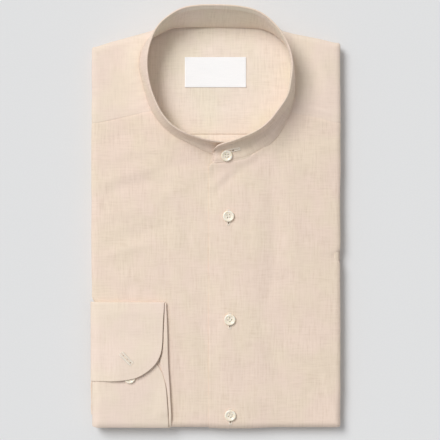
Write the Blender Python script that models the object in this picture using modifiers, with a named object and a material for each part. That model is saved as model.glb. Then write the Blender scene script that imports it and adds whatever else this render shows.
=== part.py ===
"""Band collar shirt, folded flat into a pack, lying face up.

The shirt lies on the plane z = 0 with its collar towards +Y and the wearer's
left front towards +X. Cloth pieces are thin walls that follow one pack surface;
the layers folded away behind them share one rounded solid with layered edges.
Sizes are in millimetres and turned into metres where a mesh is made.
"""
import math

import bmesh
import bpy
from mathutils import Vector

MM = 0.001
NAME = "band_collar_shirt"

# The flat field of the pack, before its edges turn over.
FIELD_LEFT = -111.0
FIELD_RIGHT = 112.0
FIELD_BOTTOM = -192.5
FIELD_MIDDLE = -12.0
HALF_WIDTH = 112.0
HALF_LENGTH = 182.0
CUFF_TUCK = 3.0
CUFF_TUCK_START = -76.0
CUFF_TUCK_END = -84.0

# Heights above the table, and the turn of the folded edges.
EDGE_TOP = 17.0
CROWN = 4.0
NOSE_REACH = 6.0
SIDE_NOSE_Z = 12.8
END_NOSE_Z = 9.8
DROP_START = -160.0
DROP_END = -190.0
TURN_ANGLES = (0, 25, 50, 75, 100, 125, 150)
CORNER_TURNS = (22.5, 45.0, 67.5)

# Cloth walls and the gaps between them.
WALL = 1.2
GAP = 0.3
STEP = WALL + GAP
BAND_WALL = 1.6
CUFF_WALL = 1.0
LABEL_WALL = 0.6

# Front opening: the left front laps over the right front.
LIFT_START = 30.0
LIFT_END = 36.0
# Places of a front's rows, as shares of its length: close at its turns.
FRONT_SHARES = (
    0.0, 0.022, 0.044, 0.066, 0.09, 0.118, 0.17, 0.23, 0.29, 0.35, 0.385, 0.4, 0.418,
    0.5, 0.58, 0.66, 0.74, 0.82, 0.91, 1.0,
)

# The top bound of each front, x to y: yoke seam, then the neck.
RIGHT_FRONT_TOP = (
    (-111.0, 87.7), (-60.0, 98.6), (-50.7, 84.9), (-40.0, 75.9), (-26.4, 68.5),
    (-8.4, 60.0), (0.0, 57.0), (12.0, 55.0), (29.0, 55.0),
)
LEFT_FRONT_TOP = (
    (-6.0, 46.5), (-3.0, 49.3), (10.0, 50.4), (20.0, 51.5), (29.6, 54.0),
    (42.8, 61.4), (53.6, 69.6), (61.6, 80.2), (67.0, 89.5), (70.0, 97.3), (112.0, 88.0),
)
RIGHT_FRONT_COLUMNS = (
    -111, -98, -85, -72, -60, -55, -50.7, -45, -40, -33, -26.4, -17, -8.4, 0, 12, 20, 29,
)
LEFT_FRONT_COLUMNS = (
    -6, -3, 3, 10, 20, 29.6, 36, 42.8, 48, 53.6, 58, 61.6, 67, 70, 84, 98, 112,
)

# The fold line over the shoulders, x to y, where the field ends at the top.
TOP_EDGE = (
    (-111.0, 153.3), (-90.0, 160.0), (-70.0, 165.2), (-60.0, 168.0), (-54.0, 170.6),
    (-48.0, 175.4), (-40.0, 178.2), (-20.0, 178.9), (0.0, 179.1), (20.0, 178.9),
    (40.0, 178.3), (48.0, 176.9), (55.0, 172.6), (61.0, 168.9), (72.0, 165.8),
    (92.0, 161.2), (112.0, 155.7),
)

# Yoke: stations round the neck. foot is on the neck seam, edge on the field's bound.
# Columns: foot_x, foot_y, edge_x, edge_y (edge_y None: on the shoulder fold line).
YOKE_STATIONS = (
    (-60.0, 98.9, -111.0, 88.0),
    (-64.0, 108.0, -111.0, 100.0),
    (-67.2, 120.6, -111.0, 113.0),
    (-70.0, 133.0, -111.0, 127.0),
    (-71.8, 145.0, -111.0, 140.0),
    (-71.0, 151.5, -111.0, None),
    (-69.0, 156.5, -97.0, None),
    (-66.0, 161.5, -84.0, None),
    (-61.0, 165.9, -70.0, None),
    (-54.0, 169.6, -60.0, None),
    (-50.5, 171.6, -54.0, None),
    (-46.0, 174.0, -48.0, None),
    (-39.5, 176.4, -40.0, None),
    (-20.0, 177.3, -20.0, None),
    (0.0, 177.5, 0.0, None),
    (20.0, 177.2, 20.0, None),
    (39.5, 176.3, 40.0, None),
    (47.5, 174.3, 48.0, None),
    (54.0, 171.0, 55.0, None),
    (59.0, 167.4, 61.0, None),
    (63.0, 163.5, 72.0, None),
    (68.0, 157.5, 82.0, None),
    (71.5, 151.0, 97.0, None),
    (72.9, 145.0, 112.0, None),
    (74.5, 133.0, 112.0, 141.0),
    (75.0, 121.0, 112.0, 128.0),
    (73.5, 108.0, 112.0, 110.0),
    (70.0, 97.6, 112.0, 88.3),
)

# Collar band: stations from the hidden underlap end round the back to the overlap end.
# Columns: foot_x, foot_y, rim_x, rim_y, rim_z, sag (how far the middle dips inwards),
# lap (0 on the right front or yoke, 1 on the lapped placket), press (how flat its lower
# part lies before it curls up, from 0 to 1).
BAND_STATIONS = (
    (22.0, 55.2, 19.0, 71.0, 39.5, 3.0, 0, 1.0),
    (12.0, 55.3, 11.0, 70.8, 41.0, 3.0, 0, 1.0),
    (1.0, 56.9, 2.5, 70.2, 42.3, 2.5, 0, 1.0),
    (-8.4, 60.1, -11.8, 72.0, 43.5, 2.0, 0, 0.9),
    (-26.4, 68.5, -24.3, 74.6, 45.0, 1.0, 0, 0.8),
    (-40.0, 75.8, -34.9, 79.9, 46.0, 0.5, 0, 0.7),
    (-50.7, 84.9, -43.7, 86.9, 47.0, 0.0, 0, 0.6),
    (-60.0, 98.7, -52.5, 99.2, 48.0, 0.0, 0, 0.5),
    (-67.2, 120.6, -60.6, 120.0, 49.2, -0.5, 0, 0.4),
    (-71.8, 142.0, -63.6, 142.6, 49.5, -0.5, 0, 0.3),
    (-66.0, 161.5, -59.8, 162.0, 49.5, -0.5, 0, 0.1),
    (-54.0, 169.8, -51.4, 177.4, 49.5, 0.0, 0, 0.0),
    (-40.0, 176.4, -34.6, 189.8, 49.5, 0.5, 0, 0.0),
    (-20.0, 177.4, -18.0, 193.9, 49.5, 0.5, 0, 0.0),
    (0.0, 177.6, 1.4, 194.4, 49.5, 0.5, 0, 0.0),
    (22.0, 177.2, 23.0, 193.0, 49.5, 0.5, 0, 0.0),
    (40.0, 176.4, 41.2, 187.8, 49.5, 0.5, 0, 0.0),
    (55.0, 170.6, 56.0, 175.6, 49.5, 0.0, 0, 0.0),
    (68.0, 157.5, 66.6, 159.0, 49.5, 0.0, 0, 0.1),
    (72.9, 144.0, 71.1, 141.7, 49.5, 0.0, 0, 0.2),
    (75.0, 124.0, 69.6, 123.0, 49.0, 0.5, 0, 0.25),
    (73.0, 106.0, 66.1, 109.7, 48.5, 1.0, 0, 0.3),
    (64.6, 85.0, 54.0, 92.2, 47.5, 2.5, 0, 0.35),
    (53.6, 69.6, 44.8, 83.0, 46.5, 4.0, 0, 0.5),
    (42.8, 61.4, 36.0, 77.4, 45.5, 5.0, 0.3, 0.8),
    (29.6, 54.0, 25.0, 72.7, 44.5, 6.0, 1, 1.0),
    (18.0, 51.4, 16.0, 69.3, 43.8, 6.5, 1, 1.0),
    (10.6, 50.5, 10.8, 67.8, 43.4, 6.5, 1, 1.0),
    (1.0, 49.7, 3.0, 65.2, 41.5, 6.0, 1, 1.0),
    (-3.0, 49.4, -1.9, 61.3, 36.0, 4.0, 1, 1.0),
)
BAND_STEPS = 2
BAND_ROWS = 8
BAND_LAP = 2.1
PRESS_POWER = 5
BUTTON_STATION = 27
BUTTON_ROW = 2
BUTTON_REACH = 2

# Inside the neck: inner yoke, the strip of the back below its seam, and the label.
INNER_HALF_WIDTH = 78.0
INNER_SEAM_Y = 76.5
BACK_HALF_WIDTH = 62.0
BACK_BOTTOM = 40.0
LABEL_LEFT = -28.7
LABEL_RIGHT = 28.6
LABEL_BOTTOM = 120.6
LABEL_TOP = 148.8

# Cuff, flattened: the flap laps over the underlap, the back half lies below both.
# Columns: y, right end of the cloth there.
CUFF_FLAP = (
    (-84.0, -48.4), (-99.0, -49.5), (-112.0, -50.0), (-121.0, -50.4), (-130.5, -52.0),
    (-139.5, -56.9), (-147.0, -65.1), (-152.3, -74.9), (-154.6, -86.0), (-155.6, -98.0),
)
CUFF_UNDERLAP = (
    (-134.0, -66.0), (-137.0, -59.5), (-140.5, -55.4), (-148.7, -50.4), (-160.0, -47.4),
    (-167.3, -46.5), (-174.0, -46.0), (-180.2, -45.6), (-186.3, -45.2), (-192.5, -44.9),
    (-194.7, -44.8),
)
CUFF_BACK = (
    (-194.7, -42.0), (-192.5, -41.9), (-186.3, -42.1), (-180.2, -42.4), (-174.0, -42.8), (-167.3, -43.1),
    (-159.5, -43.6), (-144.0, -44.6), (-128.0, -45.2), (-112.0, -45.5), (-94.0, -46.0),
    (-84.6, -46.6),
)
FLAP_RISE = 2.6
FLAP_RISE_START = -106.0
FLAP_RISE_END = -138.0
FLAP_RISE_SPAN = 18.0
CUFF_TOP_FOLD = -80.9
CUFF_BOTTOM_FOLD = -196.7
CUFF_ACROSS = (0.0, 0.3, 0.6, 0.85, 1.0)
CUFF_TURNS = (25, 50, 75, 90)
FOLD_TURNS = (0, 45, 90, 135, 180)

# Sleeve end, flattened: both layers as one thick wall round the pack's left edge.
SLEEVE_WALL = 3.6
SLEEVE_ANGLES = (96, 104, 113, 122)
SLEEVE_TOP = -85.0
SLEEVE_BOTTOM = -190.0
SLEEVE_ROWS = 18

# Hidden layers. Columns: out from the field, z, for the sides; then for the bottom fold.
LAYER_PROFILE = (
    (1.0, 9.9, 1.0, 4.3),
    (1.0, 8.8, 1.0, 2.4),
    (4.6, 8.4, 4.0, 1.7),
    (5.6, 7.2, 4.0, 1.7),
    (4.8, 6.1, 4.0, 1.7),
    (2.8, 5.8, 4.0, 1.7),
    (4.4, 5.4, 4.0, 1.7),
    (5.2, 4.4, 4.0, 1.7),
    (4.4, 3.4, 4.0, 1.7),
    (2.6, 3.1, 4.0, 1.7),
    (4.8, 2.7, 4.0, 1.7),
    (5.8, 1.4, 5.0, 1.0),
    (4.6, 0.0, 4.4, 0.0),
)
LAYER_COLUMNS = (
    -111, -98, -86, -79.5, -70, -60, -54, -48, -40, -20, 0, 20, 40, 48, 55, 61, 72, 79.5,
    86, 98, 112,
)
LAYER_ROWS = (
    -192.5, -186.3, -180.2, -174, -167.3, -159.5, -144, -128, -112, -94, -84.6, -80.4, -75.4,
    -52, -28, -4, 15, 33, 39.5, 60, 90, 120, 146,
)

# Buttons: centre on the cloth.
FRONT_BUTTONS = ((12.2, -0.8), (13.4, -98.0), (13.9, -188.2))
CUFF_BUTTON = (-80.8, -151.7)
BUTTON_RADIUS = 5.4
BUTTON_HEIGHT = 2.2
BUTTON_HOLE_RADIUS = 0.7
BUTTON_HOLE_OFFSET = 1.25
BUTTON_SEGMENTS = 20
BUTTON_SEAT = 0.4
BUTTON_CLEARANCE = 0.9
# Columns: share of the radius, share of the height, from the rim's foot to the dish.
BUTTON_PROFILE = (
    (0.85, 0.0), (1.0, 0.45), (0.93, 0.95), (0.78, 1.0), (0.62, 0.72),
)

CLOTH_COLOUR = (0.84, 0.69, 0.57, 1.0)
INNER_COLOUR = (0.86, 0.72, 0.60, 1.0)
LABEL_COLOUR = (0.93, 0.91, 0.92, 1.0)
BUTTON_COLOUR = (0.88, 0.82, 0.68, 1.0)


def ramp(low, high, value):
    """Smooth step: 0 at low, 1 at high, in either order."""
    share = min(1.0, max(0.0, (value - low) / (high - low)))
    return share * share * (3.0 - 2.0 * share)


def blend(first, second, share):
    """Value a share of the way from first to second."""
    return first + (second - first) * share


def read_table(table, value):
    """Value of a two-column table at a place between its rows."""
    for (x0, y0), (x1, y1) in zip(table, table[1:]):
        if value <= x1:
            return blend(y0, y1, max(0.0, (value - x0) / (x1 - x0)))
    return table[-1][1]


def spline(before, start, end, after, share):
    """Catmull-Rom value between start and end."""
    a = 2.0 * start
    b = end - before
    c = 2.0 * before - 5.0 * start + 4.0 * end - after
    d = 3.0 * (start - end) + after - before
    return 0.5 * (a + b * share + c * share ** 2 + d * share ** 3)


def smooth_rows(rows, steps):
    """Rows of a table with further rows put in on a smooth curve."""
    result = []
    last = len(rows) - 1
    for index in range(last):
        around = [rows[min(last, max(0, index + k))] for k in (-1, 0, 1, 2)]
        for step in range(steps):
            result.append([spline(*column, step / steps) for column in zip(*around)])
    result.append(list(rows[last]))
    return result


def pack_top(x, y):
    """Height of the face of the pack: crowned in the middle, lower at its edges."""
    across = 1.0 - min(1.0, abs(x / HALF_WIDTH)) ** 3
    along = 1.0 - min(1.0, abs((y - FIELD_MIDDLE) / HALF_LENGTH)) ** 4
    return EDGE_TOP + CROWN * across * along


def tucked(x, y):
    """x moved in at the left edge, where the sleeve and cuff wrap round it."""
    tuck = CUFF_TUCK * ramp(CUFF_TUCK_START, CUFF_TUCK_END, y)
    return x + tuck * ramp(FIELD_LEFT + 40.0, FIELD_LEFT, x)


def pack_facing(x, y):
    """Way that the face of the pack looks at a place."""
    reach = BUTTON_RADIUS
    slope_x = (pack_top(x + reach, y) - pack_top(x - reach, y)) / (2.0 * reach)
    slope_y = (pack_top(x, y + reach) - pack_top(x, y - reach)) / (2.0 * reach)
    return Vector((-slope_x, -slope_y, 1.0)).normalized()


def field_point(x, y, offset):
    """Point on the face of the pack, moved out by offset."""
    place = tucked(x, y)
    return (place, y, pack_top(place, y) + offset)


def station(x, y, out_x, out_y, drop):
    """Place on the field's bound, its way out, and how far the end fold takes over."""
    return (tucked(x, y), y, out_x, out_y, drop)


def turn_point(place, angle, offset):
    """Point on the edge that turns over, at an angle from the field's tangent."""
    base_x, base_y, out_x, out_y, drop = place
    nose = blend(SIDE_NOSE_Z, END_NOSE_Z, drop)
    reach = (NOSE_REACH + offset) * math.sin(angle)
    height = (pack_top(base_x, base_y) - nose + offset) * math.cos(angle)
    return (base_x + out_x * reach, base_y + out_y * reach, nose + height)


def end_drop(y):
    """How far the side's turn has gone over to that of the bottom fold."""
    return ramp(DROP_START, DROP_END, y)


def corner_ways(start, sense):
    """Ways out round a corner, from the heading start, turning by sense."""
    angles = [math.radians(start + sense * turn) for turn in CORNER_TURNS]
    return [(math.cos(angle), math.sin(angle)) for angle in angles]


def add_grid(mesh, rows):
    """Grid of four-sided faces through rows of points."""
    lines = [[mesh.verts.new(Vector(point) * MM) for point in row] for row in rows]
    for lower, upper in zip(lines, lines[1:]):
        for a, b, c, d in zip(lower, lower[1:], upper[1:], upper):
            mesh.faces.new((a, b, c, d))
    return lines


def weld(mesh):
    """Joins points that coincide and turns all faces one way."""
    bmesh.ops.remove_doubles(mesh, verts=mesh.verts[:], dist=0.00001)
    bmesh.ops.dissolve_degenerate(mesh, dist=0.00001, edges=mesh.edges[:])
    bmesh.ops.recalc_face_normals(mesh, faces=mesh.faces[:])


def material(name, colour, roughness):
    """Plain material of one finish."""
    finish = bpy.data.materials.new(name)
    finish.use_nodes = True
    shader = finish.node_tree.nodes["Principled BSDF"]
    shader.inputs["Base Color"].default_value = colour
    shader.inputs["Roughness"].default_value = roughness
    shader.inputs["Metallic"].default_value = 0.0
    return finish


def make_object(name, mesh, finish, parts):
    """Object of a mesh, smooth but for its sharp edges."""
    data = bpy.data.meshes.new(name)
    mesh.to_mesh(data)
    mesh.free()
    data.materials.append(finish)
    data.shade_smooth()
    data.set_sharp_from_angle(angle=math.radians(50))
    piece = bpy.data.objects.new(name, data)
    parts.objects.link(piece)
    return piece


def make_cloth(name, grids, thickness, offset, finish, parts):
    """Cloth wall on one or more grids that meet, facing up or away from the pack."""
    mesh = bmesh.new()
    for rows in grids:
        add_grid(mesh, rows)
    weld(mesh)
    if sum(face.normal.z * face.calc_area() for face in mesh.faces) < 0.0:
        bmesh.ops.reverse_faces(mesh, faces=mesh.faces[:])
    piece = make_object(name, mesh, finish, parts)
    wall = piece.modifiers.new("cloth wall", "SOLIDIFY")
    wall.thickness = thickness * MM
    wall.offset = offset
    wall.use_even_offset = True
    wall.use_quality_normals = True
    return piece


def front_grids(columns, top, side_x, out, lift):
    """Field and turned edge of one front: the bottom fold and one side."""
    rows = []
    for share in FRONT_SHARES:
        heights = [blend(FIELD_BOTTOM, read_table(top, x), share) for x in columns]
        rows.append([field_point(x, y, lift(x)) for x, y in zip(columns, heights)])
    path = [station(x, FIELD_BOTTOM, 0.0, -1.0, 1.0) for x in columns]
    lifts = [lift(x) for x in columns]
    side_top = read_table(top, side_x)
    side = [blend(FIELD_BOTTOM, side_top, share) for share in FRONT_SHARES]
    upward = [station(side_x, y, out, 0.0, end_drop(y)) for y in side]
    corner = [
        station(side_x, FIELD_BOTTOM, out * way[0], way[1], 1.0)
        for way in corner_ways(-90.0, 1.0)
    ]
    if out < 0.0:
        path.reverse()
        lifts.reverse()
    path += corner + upward
    lifts += [0.0] * (len(corner) + len(upward))
    turned = [
        [turn_point(place, math.radians(angle), rise) for place, rise in zip(path, lifts)]
        for angle in TURN_ANGLES
    ]
    return rows, turned


def placket_lift(x):
    """Rise of the left front where it laps over the right front."""
    return STEP * ramp(LIFT_END, LIFT_START, x)


def make_fronts(finish, parts):
    """Left and right front, each turned over its side and the bottom fold."""
    left = front_grids(LEFT_FRONT_COLUMNS, LEFT_FRONT_TOP, FIELD_RIGHT, 1.0, placket_lift)
    make_cloth("front_left", left, WALL, -1.0, finish, parts)
    right = front_grids(
        RIGHT_FRONT_COLUMNS, RIGHT_FRONT_TOP, FIELD_LEFT, -1.0, lambda x: 0.0
    )
    make_cloth("front_right", right, WALL, -1.0, finish, parts)


def yoke_edge():
    """Stations on the yoke's outer bound, with the number of turns at each."""
    edge = []
    for row in YOKE_STATIONS:
        x, y = row[2], row[3]
        if y is not None:
            edge.append([station(x, y, math.copysign(1.0, x), 0.0, 0.0)])
            continue
        y = read_table(TOP_EDGE, x)
        slope = math.atan2(
            read_table(TOP_EDGE, min(x + 6.0, FIELD_RIGHT))
            - read_table(TOP_EDGE, max(x - 6.0, FIELD_LEFT)),
            min(x + 6.0, FIELD_RIGHT) - max(x - 6.0, FIELD_LEFT),
        )
        up = (-math.sin(slope), math.cos(slope))
        if x == FIELD_LEFT:
            ways = [(-1.0, 0.0)] + corner_ways(180.0, -1.0) + [up]
        elif x == FIELD_RIGHT:
            ways = [up] + corner_ways(90.0, -1.0) + [(1.0, 0.0)]
        else:
            ways = [up]
        edge.append([station(x, y, *way, 0.0) for way in ways])
    return edge


def make_yoke(finish, parts):
    """Outer yoke: a horseshoe round the neck, turned over the shoulders and sides."""
    edge = yoke_edge()
    rows = []
    for share in (0.0, 0.33, 0.67, 1.0):
        row = []
        for (foot_x, foot_y, _, _), places in zip(YOKE_STATIONS, edge):
            x = blend(foot_x, places[0][0], share)
            y = blend(foot_y, places[0][1], share)
            row.append((x, y, pack_top(x, y)))
        rows.append(row)
    path = [place for places in edge for place in places]
    turned = [
        [turn_point(place, math.radians(angle), 0.0) for place in path]
        for angle in TURN_ANGLES
    ]
    make_cloth("yoke", (rows, turned), WALL, -1.0, finish, parts)


def make_inside(finish, parts):
    """Inner yoke and the strip of the back below its seam, one layer down."""
    share_rows = [row / 8 for row in range(9)]
    columns = [INNER_HALF_WIDTH * (k / 12 - 1.0) for k in range(25)]
    rows = [
        [
            field_point(x, blend(INNER_SEAM_Y + GAP, read_table(TOP_EDGE, x) - 1.2, share), -STEP)
            for x in columns
        ]
        for share in share_rows
    ]
    make_cloth("yoke_inner", (rows,), WALL, -1.0, finish, parts)
    columns = [BACK_HALF_WIDTH * (k / 4 - 1.0) for k in range(9)]
    rows = [
        [field_point(x, blend(BACK_BOTTOM, INNER_SEAM_Y, share), -STEP) for x in columns]
        for share in (0.0, 0.5, 1.0)
    ]
    make_cloth("back", (rows,), WALL, -1.0, finish, parts)


def make_label(finish, parts):
    """Blank woven label on the inner yoke."""
    columns = [blend(LABEL_LEFT, LABEL_RIGHT, k / 5) for k in range(6)]
    rows = [
        [
            field_point(x, blend(LABEL_BOTTOM, LABEL_TOP, share), GAP + LABEL_WALL - STEP)
            for x in columns
        ]
        for share in (0.0, 0.33, 0.67, 1.0)
    ]
    make_cloth("label", (rows,), LABEL_WALL, -1.0, finish, parts)


def band_line(foot, rim, sag, press, along):
    """Points up the band at one station: a soft curve that dips by sag.

    Where press is above 0 its lower part lies down, and only the upper part curls up.
    """
    chord = rim - foot
    outward = chord.cross(along).normalized()
    control = (foot + rim) * 0.5 - outward * sag
    points = []
    for row in range(BAND_ROWS + 1):
        share = row / BAND_ROWS
        near = foot.lerp(control, share)
        far = control.lerp(rim, share)
        point = near.lerp(far, share)
        low = blend(foot.z, rim.z, share ** PRESS_POWER)
        point.z = blend(point.z, low, press)
        points.append(point)
    return points


def band_lines():
    """Lines up the collar band's middle surface, station by station."""
    stations = smooth_rows(BAND_STATIONS, BAND_STEPS)
    feet = []
    rims = []
    for foot_x, foot_y, rim_x, rim_y, rim_z, _, lap, press in stations:
        rise = pack_top(foot_x, foot_y) + GAP + BAND_LAP * min(1.0, max(0.0, lap))
        upright = (rim_z - rise) * (1.0 - min(1.0, max(0.0, press)))
        lean = Vector((rim_x - foot_x, rim_y - foot_y, upright)).normalized()
        flat = math.sqrt(max(0.0, 1.0 - lean.z ** 2))
        feet.append(Vector((foot_x, foot_y, rise + BAND_WALL * (0.1 + 0.5 * flat))))
        rims.append(Vector((rim_x, rim_y, rim_z)))
    lines = []
    last = len(stations) - 1
    for index, row in enumerate(stations):
        along = feet[min(last, index + 1)] - feet[max(0, index - 1)]
        press = min(1.0, max(0.0, row[7]))
        lines.append(band_line(feet[index], rims[index], row[5], press, along.normalized()))
    return lines


def make_band(lines, finish, parts):
    """Collar band standing on the neck seam, its ends lapped at the front."""
    rows = [[line[row] for line in lines] for row in range(BAND_ROWS + 1)]
    make_cloth("collar_band", (rows,), BAND_WALL, 0.0, finish, parts)


def cuff_point(x_share, turn, right, y, layer, rise):
    """Point of the cuff: across the field, then round the pack's left and bottom edges."""
    left = tucked(FIELD_LEFT, y)
    x = blend(left, right, x_share)
    offset = layer + rise * ramp(left, left + FLAP_RISE_SPAN, x)
    if y >= FIELD_BOTTOM:
        return turn_point((x, y, -1.0, 0.0, end_drop(y)), turn, offset)
    down = (FIELD_BOTTOM - y) / NOSE_REACH
    beside = turn * math.sqrt(1.0 - (2.0 * down / math.pi) ** 2)
    angle = math.hypot(down, beside)
    place = (x, FIELD_BOTTOM, -beside / angle, -down / angle, 1.0)
    return turn_point(place, angle, offset)


def cuff_row(right, y, layer, rise=0.0):
    """One line of the cuff's cloth from its open end to the sleeve seam."""
    shares = [1.0 - share for share in CUFF_ACROSS]
    row = [cuff_point(share, 0.0, right, y, layer, rise) for share in shares]
    row += [cuff_point(0.0, math.radians(turn), right, y, layer, 0.0) for turn in CUFF_TURNS]
    return row


def flap_rise(y):
    """Rise of the flap's free end, which lies on the cuff's button."""
    return FLAP_RISE * ramp(FLAP_RISE_START, FLAP_RISE_END, y)


def fold_rows(fold_y, sense, first, second, right_first, right_second):
    """Lines round a fold of the cuff, from the layer first to the layer second."""
    centre = 0.5 * (first + second)
    radius = 0.5 * abs(second - first)
    rows = []
    for turn in FOLD_TURNS:
        angle = math.radians(turn)
        y = fold_y + sense * radius * math.sin(angle)
        offset = centre + (first - centre) * math.cos(angle)
        rows.append(cuff_row(blend(right_first, right_second, turn / 180.0), y, offset))
    return rows


def make_cuff(finish, parts):
    """Cuff flattened on the lower left: underlap, bottom fold, back half, top fold, flap."""
    back = GAP + 0.5 * CUFF_WALL
    under = back + CUFF_WALL + GAP
    flap = under + CUFF_WALL + GAP
    rows = [cuff_row(right, y, under) for y, right in CUFF_UNDERLAP]
    rows += fold_rows(CUFF_BOTTOM_FOLD, -1.0, under, back, CUFF_UNDERLAP[-1][1], CUFF_BACK[0][1])
    rows += [cuff_row(right, y, back) for y, right in CUFF_BACK]
    rows += fold_rows(CUFF_TOP_FOLD, 1.0, back, flap, CUFF_BACK[-1][1], CUFF_FLAP[0][1])
    rows += [cuff_row(right, y, flap, flap_rise(y)) for y, right in CUFF_FLAP]
    make_cloth("cuff", (rows,), CUFF_WALL, 0.0, finish, parts)


def make_sleeve(finish, parts):
    """Flattened end of the sleeve, from the cuff's seam down round the left edge."""
    offset = GAP + 0.5 * SLEEVE_WALL
    rows = []
    for step in range(SLEEVE_ROWS + 1):
        y = blend(SLEEVE_BOTTOM, SLEEVE_TOP, step / SLEEVE_ROWS)
        place = station(FIELD_LEFT, y, -1.0, 0.0, end_drop(y))
        rows.append([turn_point(place, math.radians(angle), offset) for angle in SLEEVE_ANGLES])
    make_cloth("sleeve", (rows,), SLEEVE_WALL, 0.0, finish, parts)


def layer_depth(x, y):
    """How far the hidden layers lie below the face of the pack."""
    inside = ramp(33.0, 39.5, y) * ramp(86.0, 79.5, abs(x))
    return STEP * (1.0 + inside)


def layer_rows():
    """Top field of the hidden layers."""
    rows = []
    for y in LAYER_ROWS:
        rows.append([field_point(x, y, -layer_depth(x, y)) for x in LAYER_COLUMNS])
    last = LAYER_ROWS[-1]
    for share in (0.5, 1.0):
        row = []
        for x in LAYER_COLUMNS:
            y = blend(last, read_table(TOP_EDGE, x), share)
            row.append(field_point(x, y, -layer_depth(x, y)))
        rows.append(row)
    return rows


def layer_path():
    """Stations all round the field: up the left, over the top, down, and back below."""
    heights = list(LAYER_ROWS) + [blend(LAYER_ROWS[-1], TOP_EDGE[0][1], 0.5)]
    path = [station(FIELD_LEFT, y, -1.0, 0.0, end_drop(y)) for y in heights]
    path.append(station(FIELD_LEFT, TOP_EDGE[0][1], -1.0, 0.0, 0.0))
    ways = corner_ways(180.0, -1.0)
    path += [station(FIELD_LEFT, TOP_EDGE[0][1], *way, 0.0) for way in ways]
    path += [station(x, read_table(TOP_EDGE, x), 0.0, 1.0, 0.0) for x in LAYER_COLUMNS]
    ways = corner_ways(90.0, -1.0)
    path += [station(FIELD_RIGHT, TOP_EDGE[-1][1], *way, 0.0) for way in ways]
    heights = list(LAYER_ROWS) + [blend(LAYER_ROWS[-1], TOP_EDGE[-1][1], 0.5)]
    path.append(station(FIELD_RIGHT, TOP_EDGE[-1][1], 1.0, 0.0, 0.0))
    path += [station(FIELD_RIGHT, y, 1.0, 0.0, end_drop(y)) for y in reversed(heights)]
    ways = corner_ways(0.0, -1.0)
    path += [station(FIELD_RIGHT, FIELD_BOTTOM, *way, 1.0) for way in ways]
    path += [station(x, FIELD_BOTTOM, 0.0, -1.0, 1.0) for x in reversed(LAYER_COLUMNS)]
    ways = corner_ways(270.0, -1.0)
    path += [station(FIELD_LEFT, FIELD_BOTTOM, *way, 1.0) for way in ways]
    path.append(path[0])
    return path


def make_layers(finish, parts):
    """One rounded solid for all the layers folded away, its edges layered."""
    mesh = bmesh.new()
    add_grid(mesh, layer_rows())
    path = layer_path()
    lines = []
    for angle in TURN_ANGLES:
        line = []
        for place in path:
            depth = layer_depth(place[0], place[1])
            slack = depth - STEP
            x, y, z = turn_point(place, math.radians(angle), -STEP)
            line.append((x, y, z - slack * ramp(90.0, 0.0, angle)))
        lines.append(line)
    for side_out, side_z, end_out, end_z in LAYER_PROFILE:
        line = []
        for base_x, base_y, out_x, out_y, drop in path:
            out = blend(side_out, end_out, drop)
            z = blend(side_z, end_z, drop)
            line.append((base_x + out_x * out, base_y + out_y * out, z))
        lines.append(line)
    rings = add_grid(mesh, lines)
    mesh.faces.new(rings[-1][:-1])
    weld(mesh)
    bmesh.ops.triangulate(mesh, faces=[face for face in mesh.faces if len(face.verts) > 4])
    make_object("folded_layers", mesh, finish, parts)


def button_mesh(name):
    """Four-hole shirt button: a turned profile, its holes cut through."""
    mesh = bmesh.new()
    centre_foot = mesh.verts.new((0.0, 0.0, 0.0))
    centre_dish = mesh.verts.new((0.0, 0.0, BUTTON_PROFILE[-1][1] * BUTTON_HEIGHT * MM))
    rings = []
    for radius, height in BUTTON_PROFILE:
        ring = []
        for k in range(BUTTON_SEGMENTS):
            angle = 2.0 * math.pi * k / BUTTON_SEGMENTS
            reach = radius * BUTTON_RADIUS
            place = (reach * math.cos(angle), reach * math.sin(angle), height * BUTTON_HEIGHT)
            ring.append(mesh.verts.new(Vector(place) * MM))
        rings.append(ring)
    for k in range(BUTTON_SEGMENTS):
        after = (k + 1) % BUTTON_SEGMENTS
        mesh.faces.new((centre_foot, rings[0][after], rings[0][k]))
        mesh.faces.new((centre_dish, rings[-1][k], rings[-1][after]))
        for lower, upper in zip(rings, rings[1:]):
            mesh.faces.new((lower[k], lower[after], upper[after], upper[k]))
    bmesh.ops.recalc_face_normals(mesh, faces=mesh.faces[:])
    data = bpy.data.meshes.new(name)
    mesh.to_mesh(data)
    mesh.free()
    return data


def button_cutter(cutters):
    """Four pins that cut a button's thread holes."""
    mesh = bmesh.new()
    for turn in range(4):
        angle = math.radians(45.0 + 90.0 * turn)
        reach = BUTTON_HOLE_OFFSET * math.sqrt(2.0) * MM
        pin = bmesh.ops.create_cone(
            mesh, cap_ends=True, segments=6, depth=4.0 * BUTTON_HEIGHT * MM,
            radius1=BUTTON_HOLE_RADIUS * MM, radius2=BUTTON_HOLE_RADIUS * MM,
        )
        shift = Vector((reach * math.cos(angle), reach * math.sin(angle), 0.0))
        bmesh.ops.translate(mesh, verts=pin["verts"], vec=shift)
    data = bpy.data.meshes.new("button holes")
    mesh.to_mesh(data)
    mesh.free()
    cutter = bpy.data.objects.new("button holes", data)
    cutter.hide_render = True
    cutter.display_type = "WIRE"
    cutters.objects.link(cutter)
    return cutter


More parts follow.
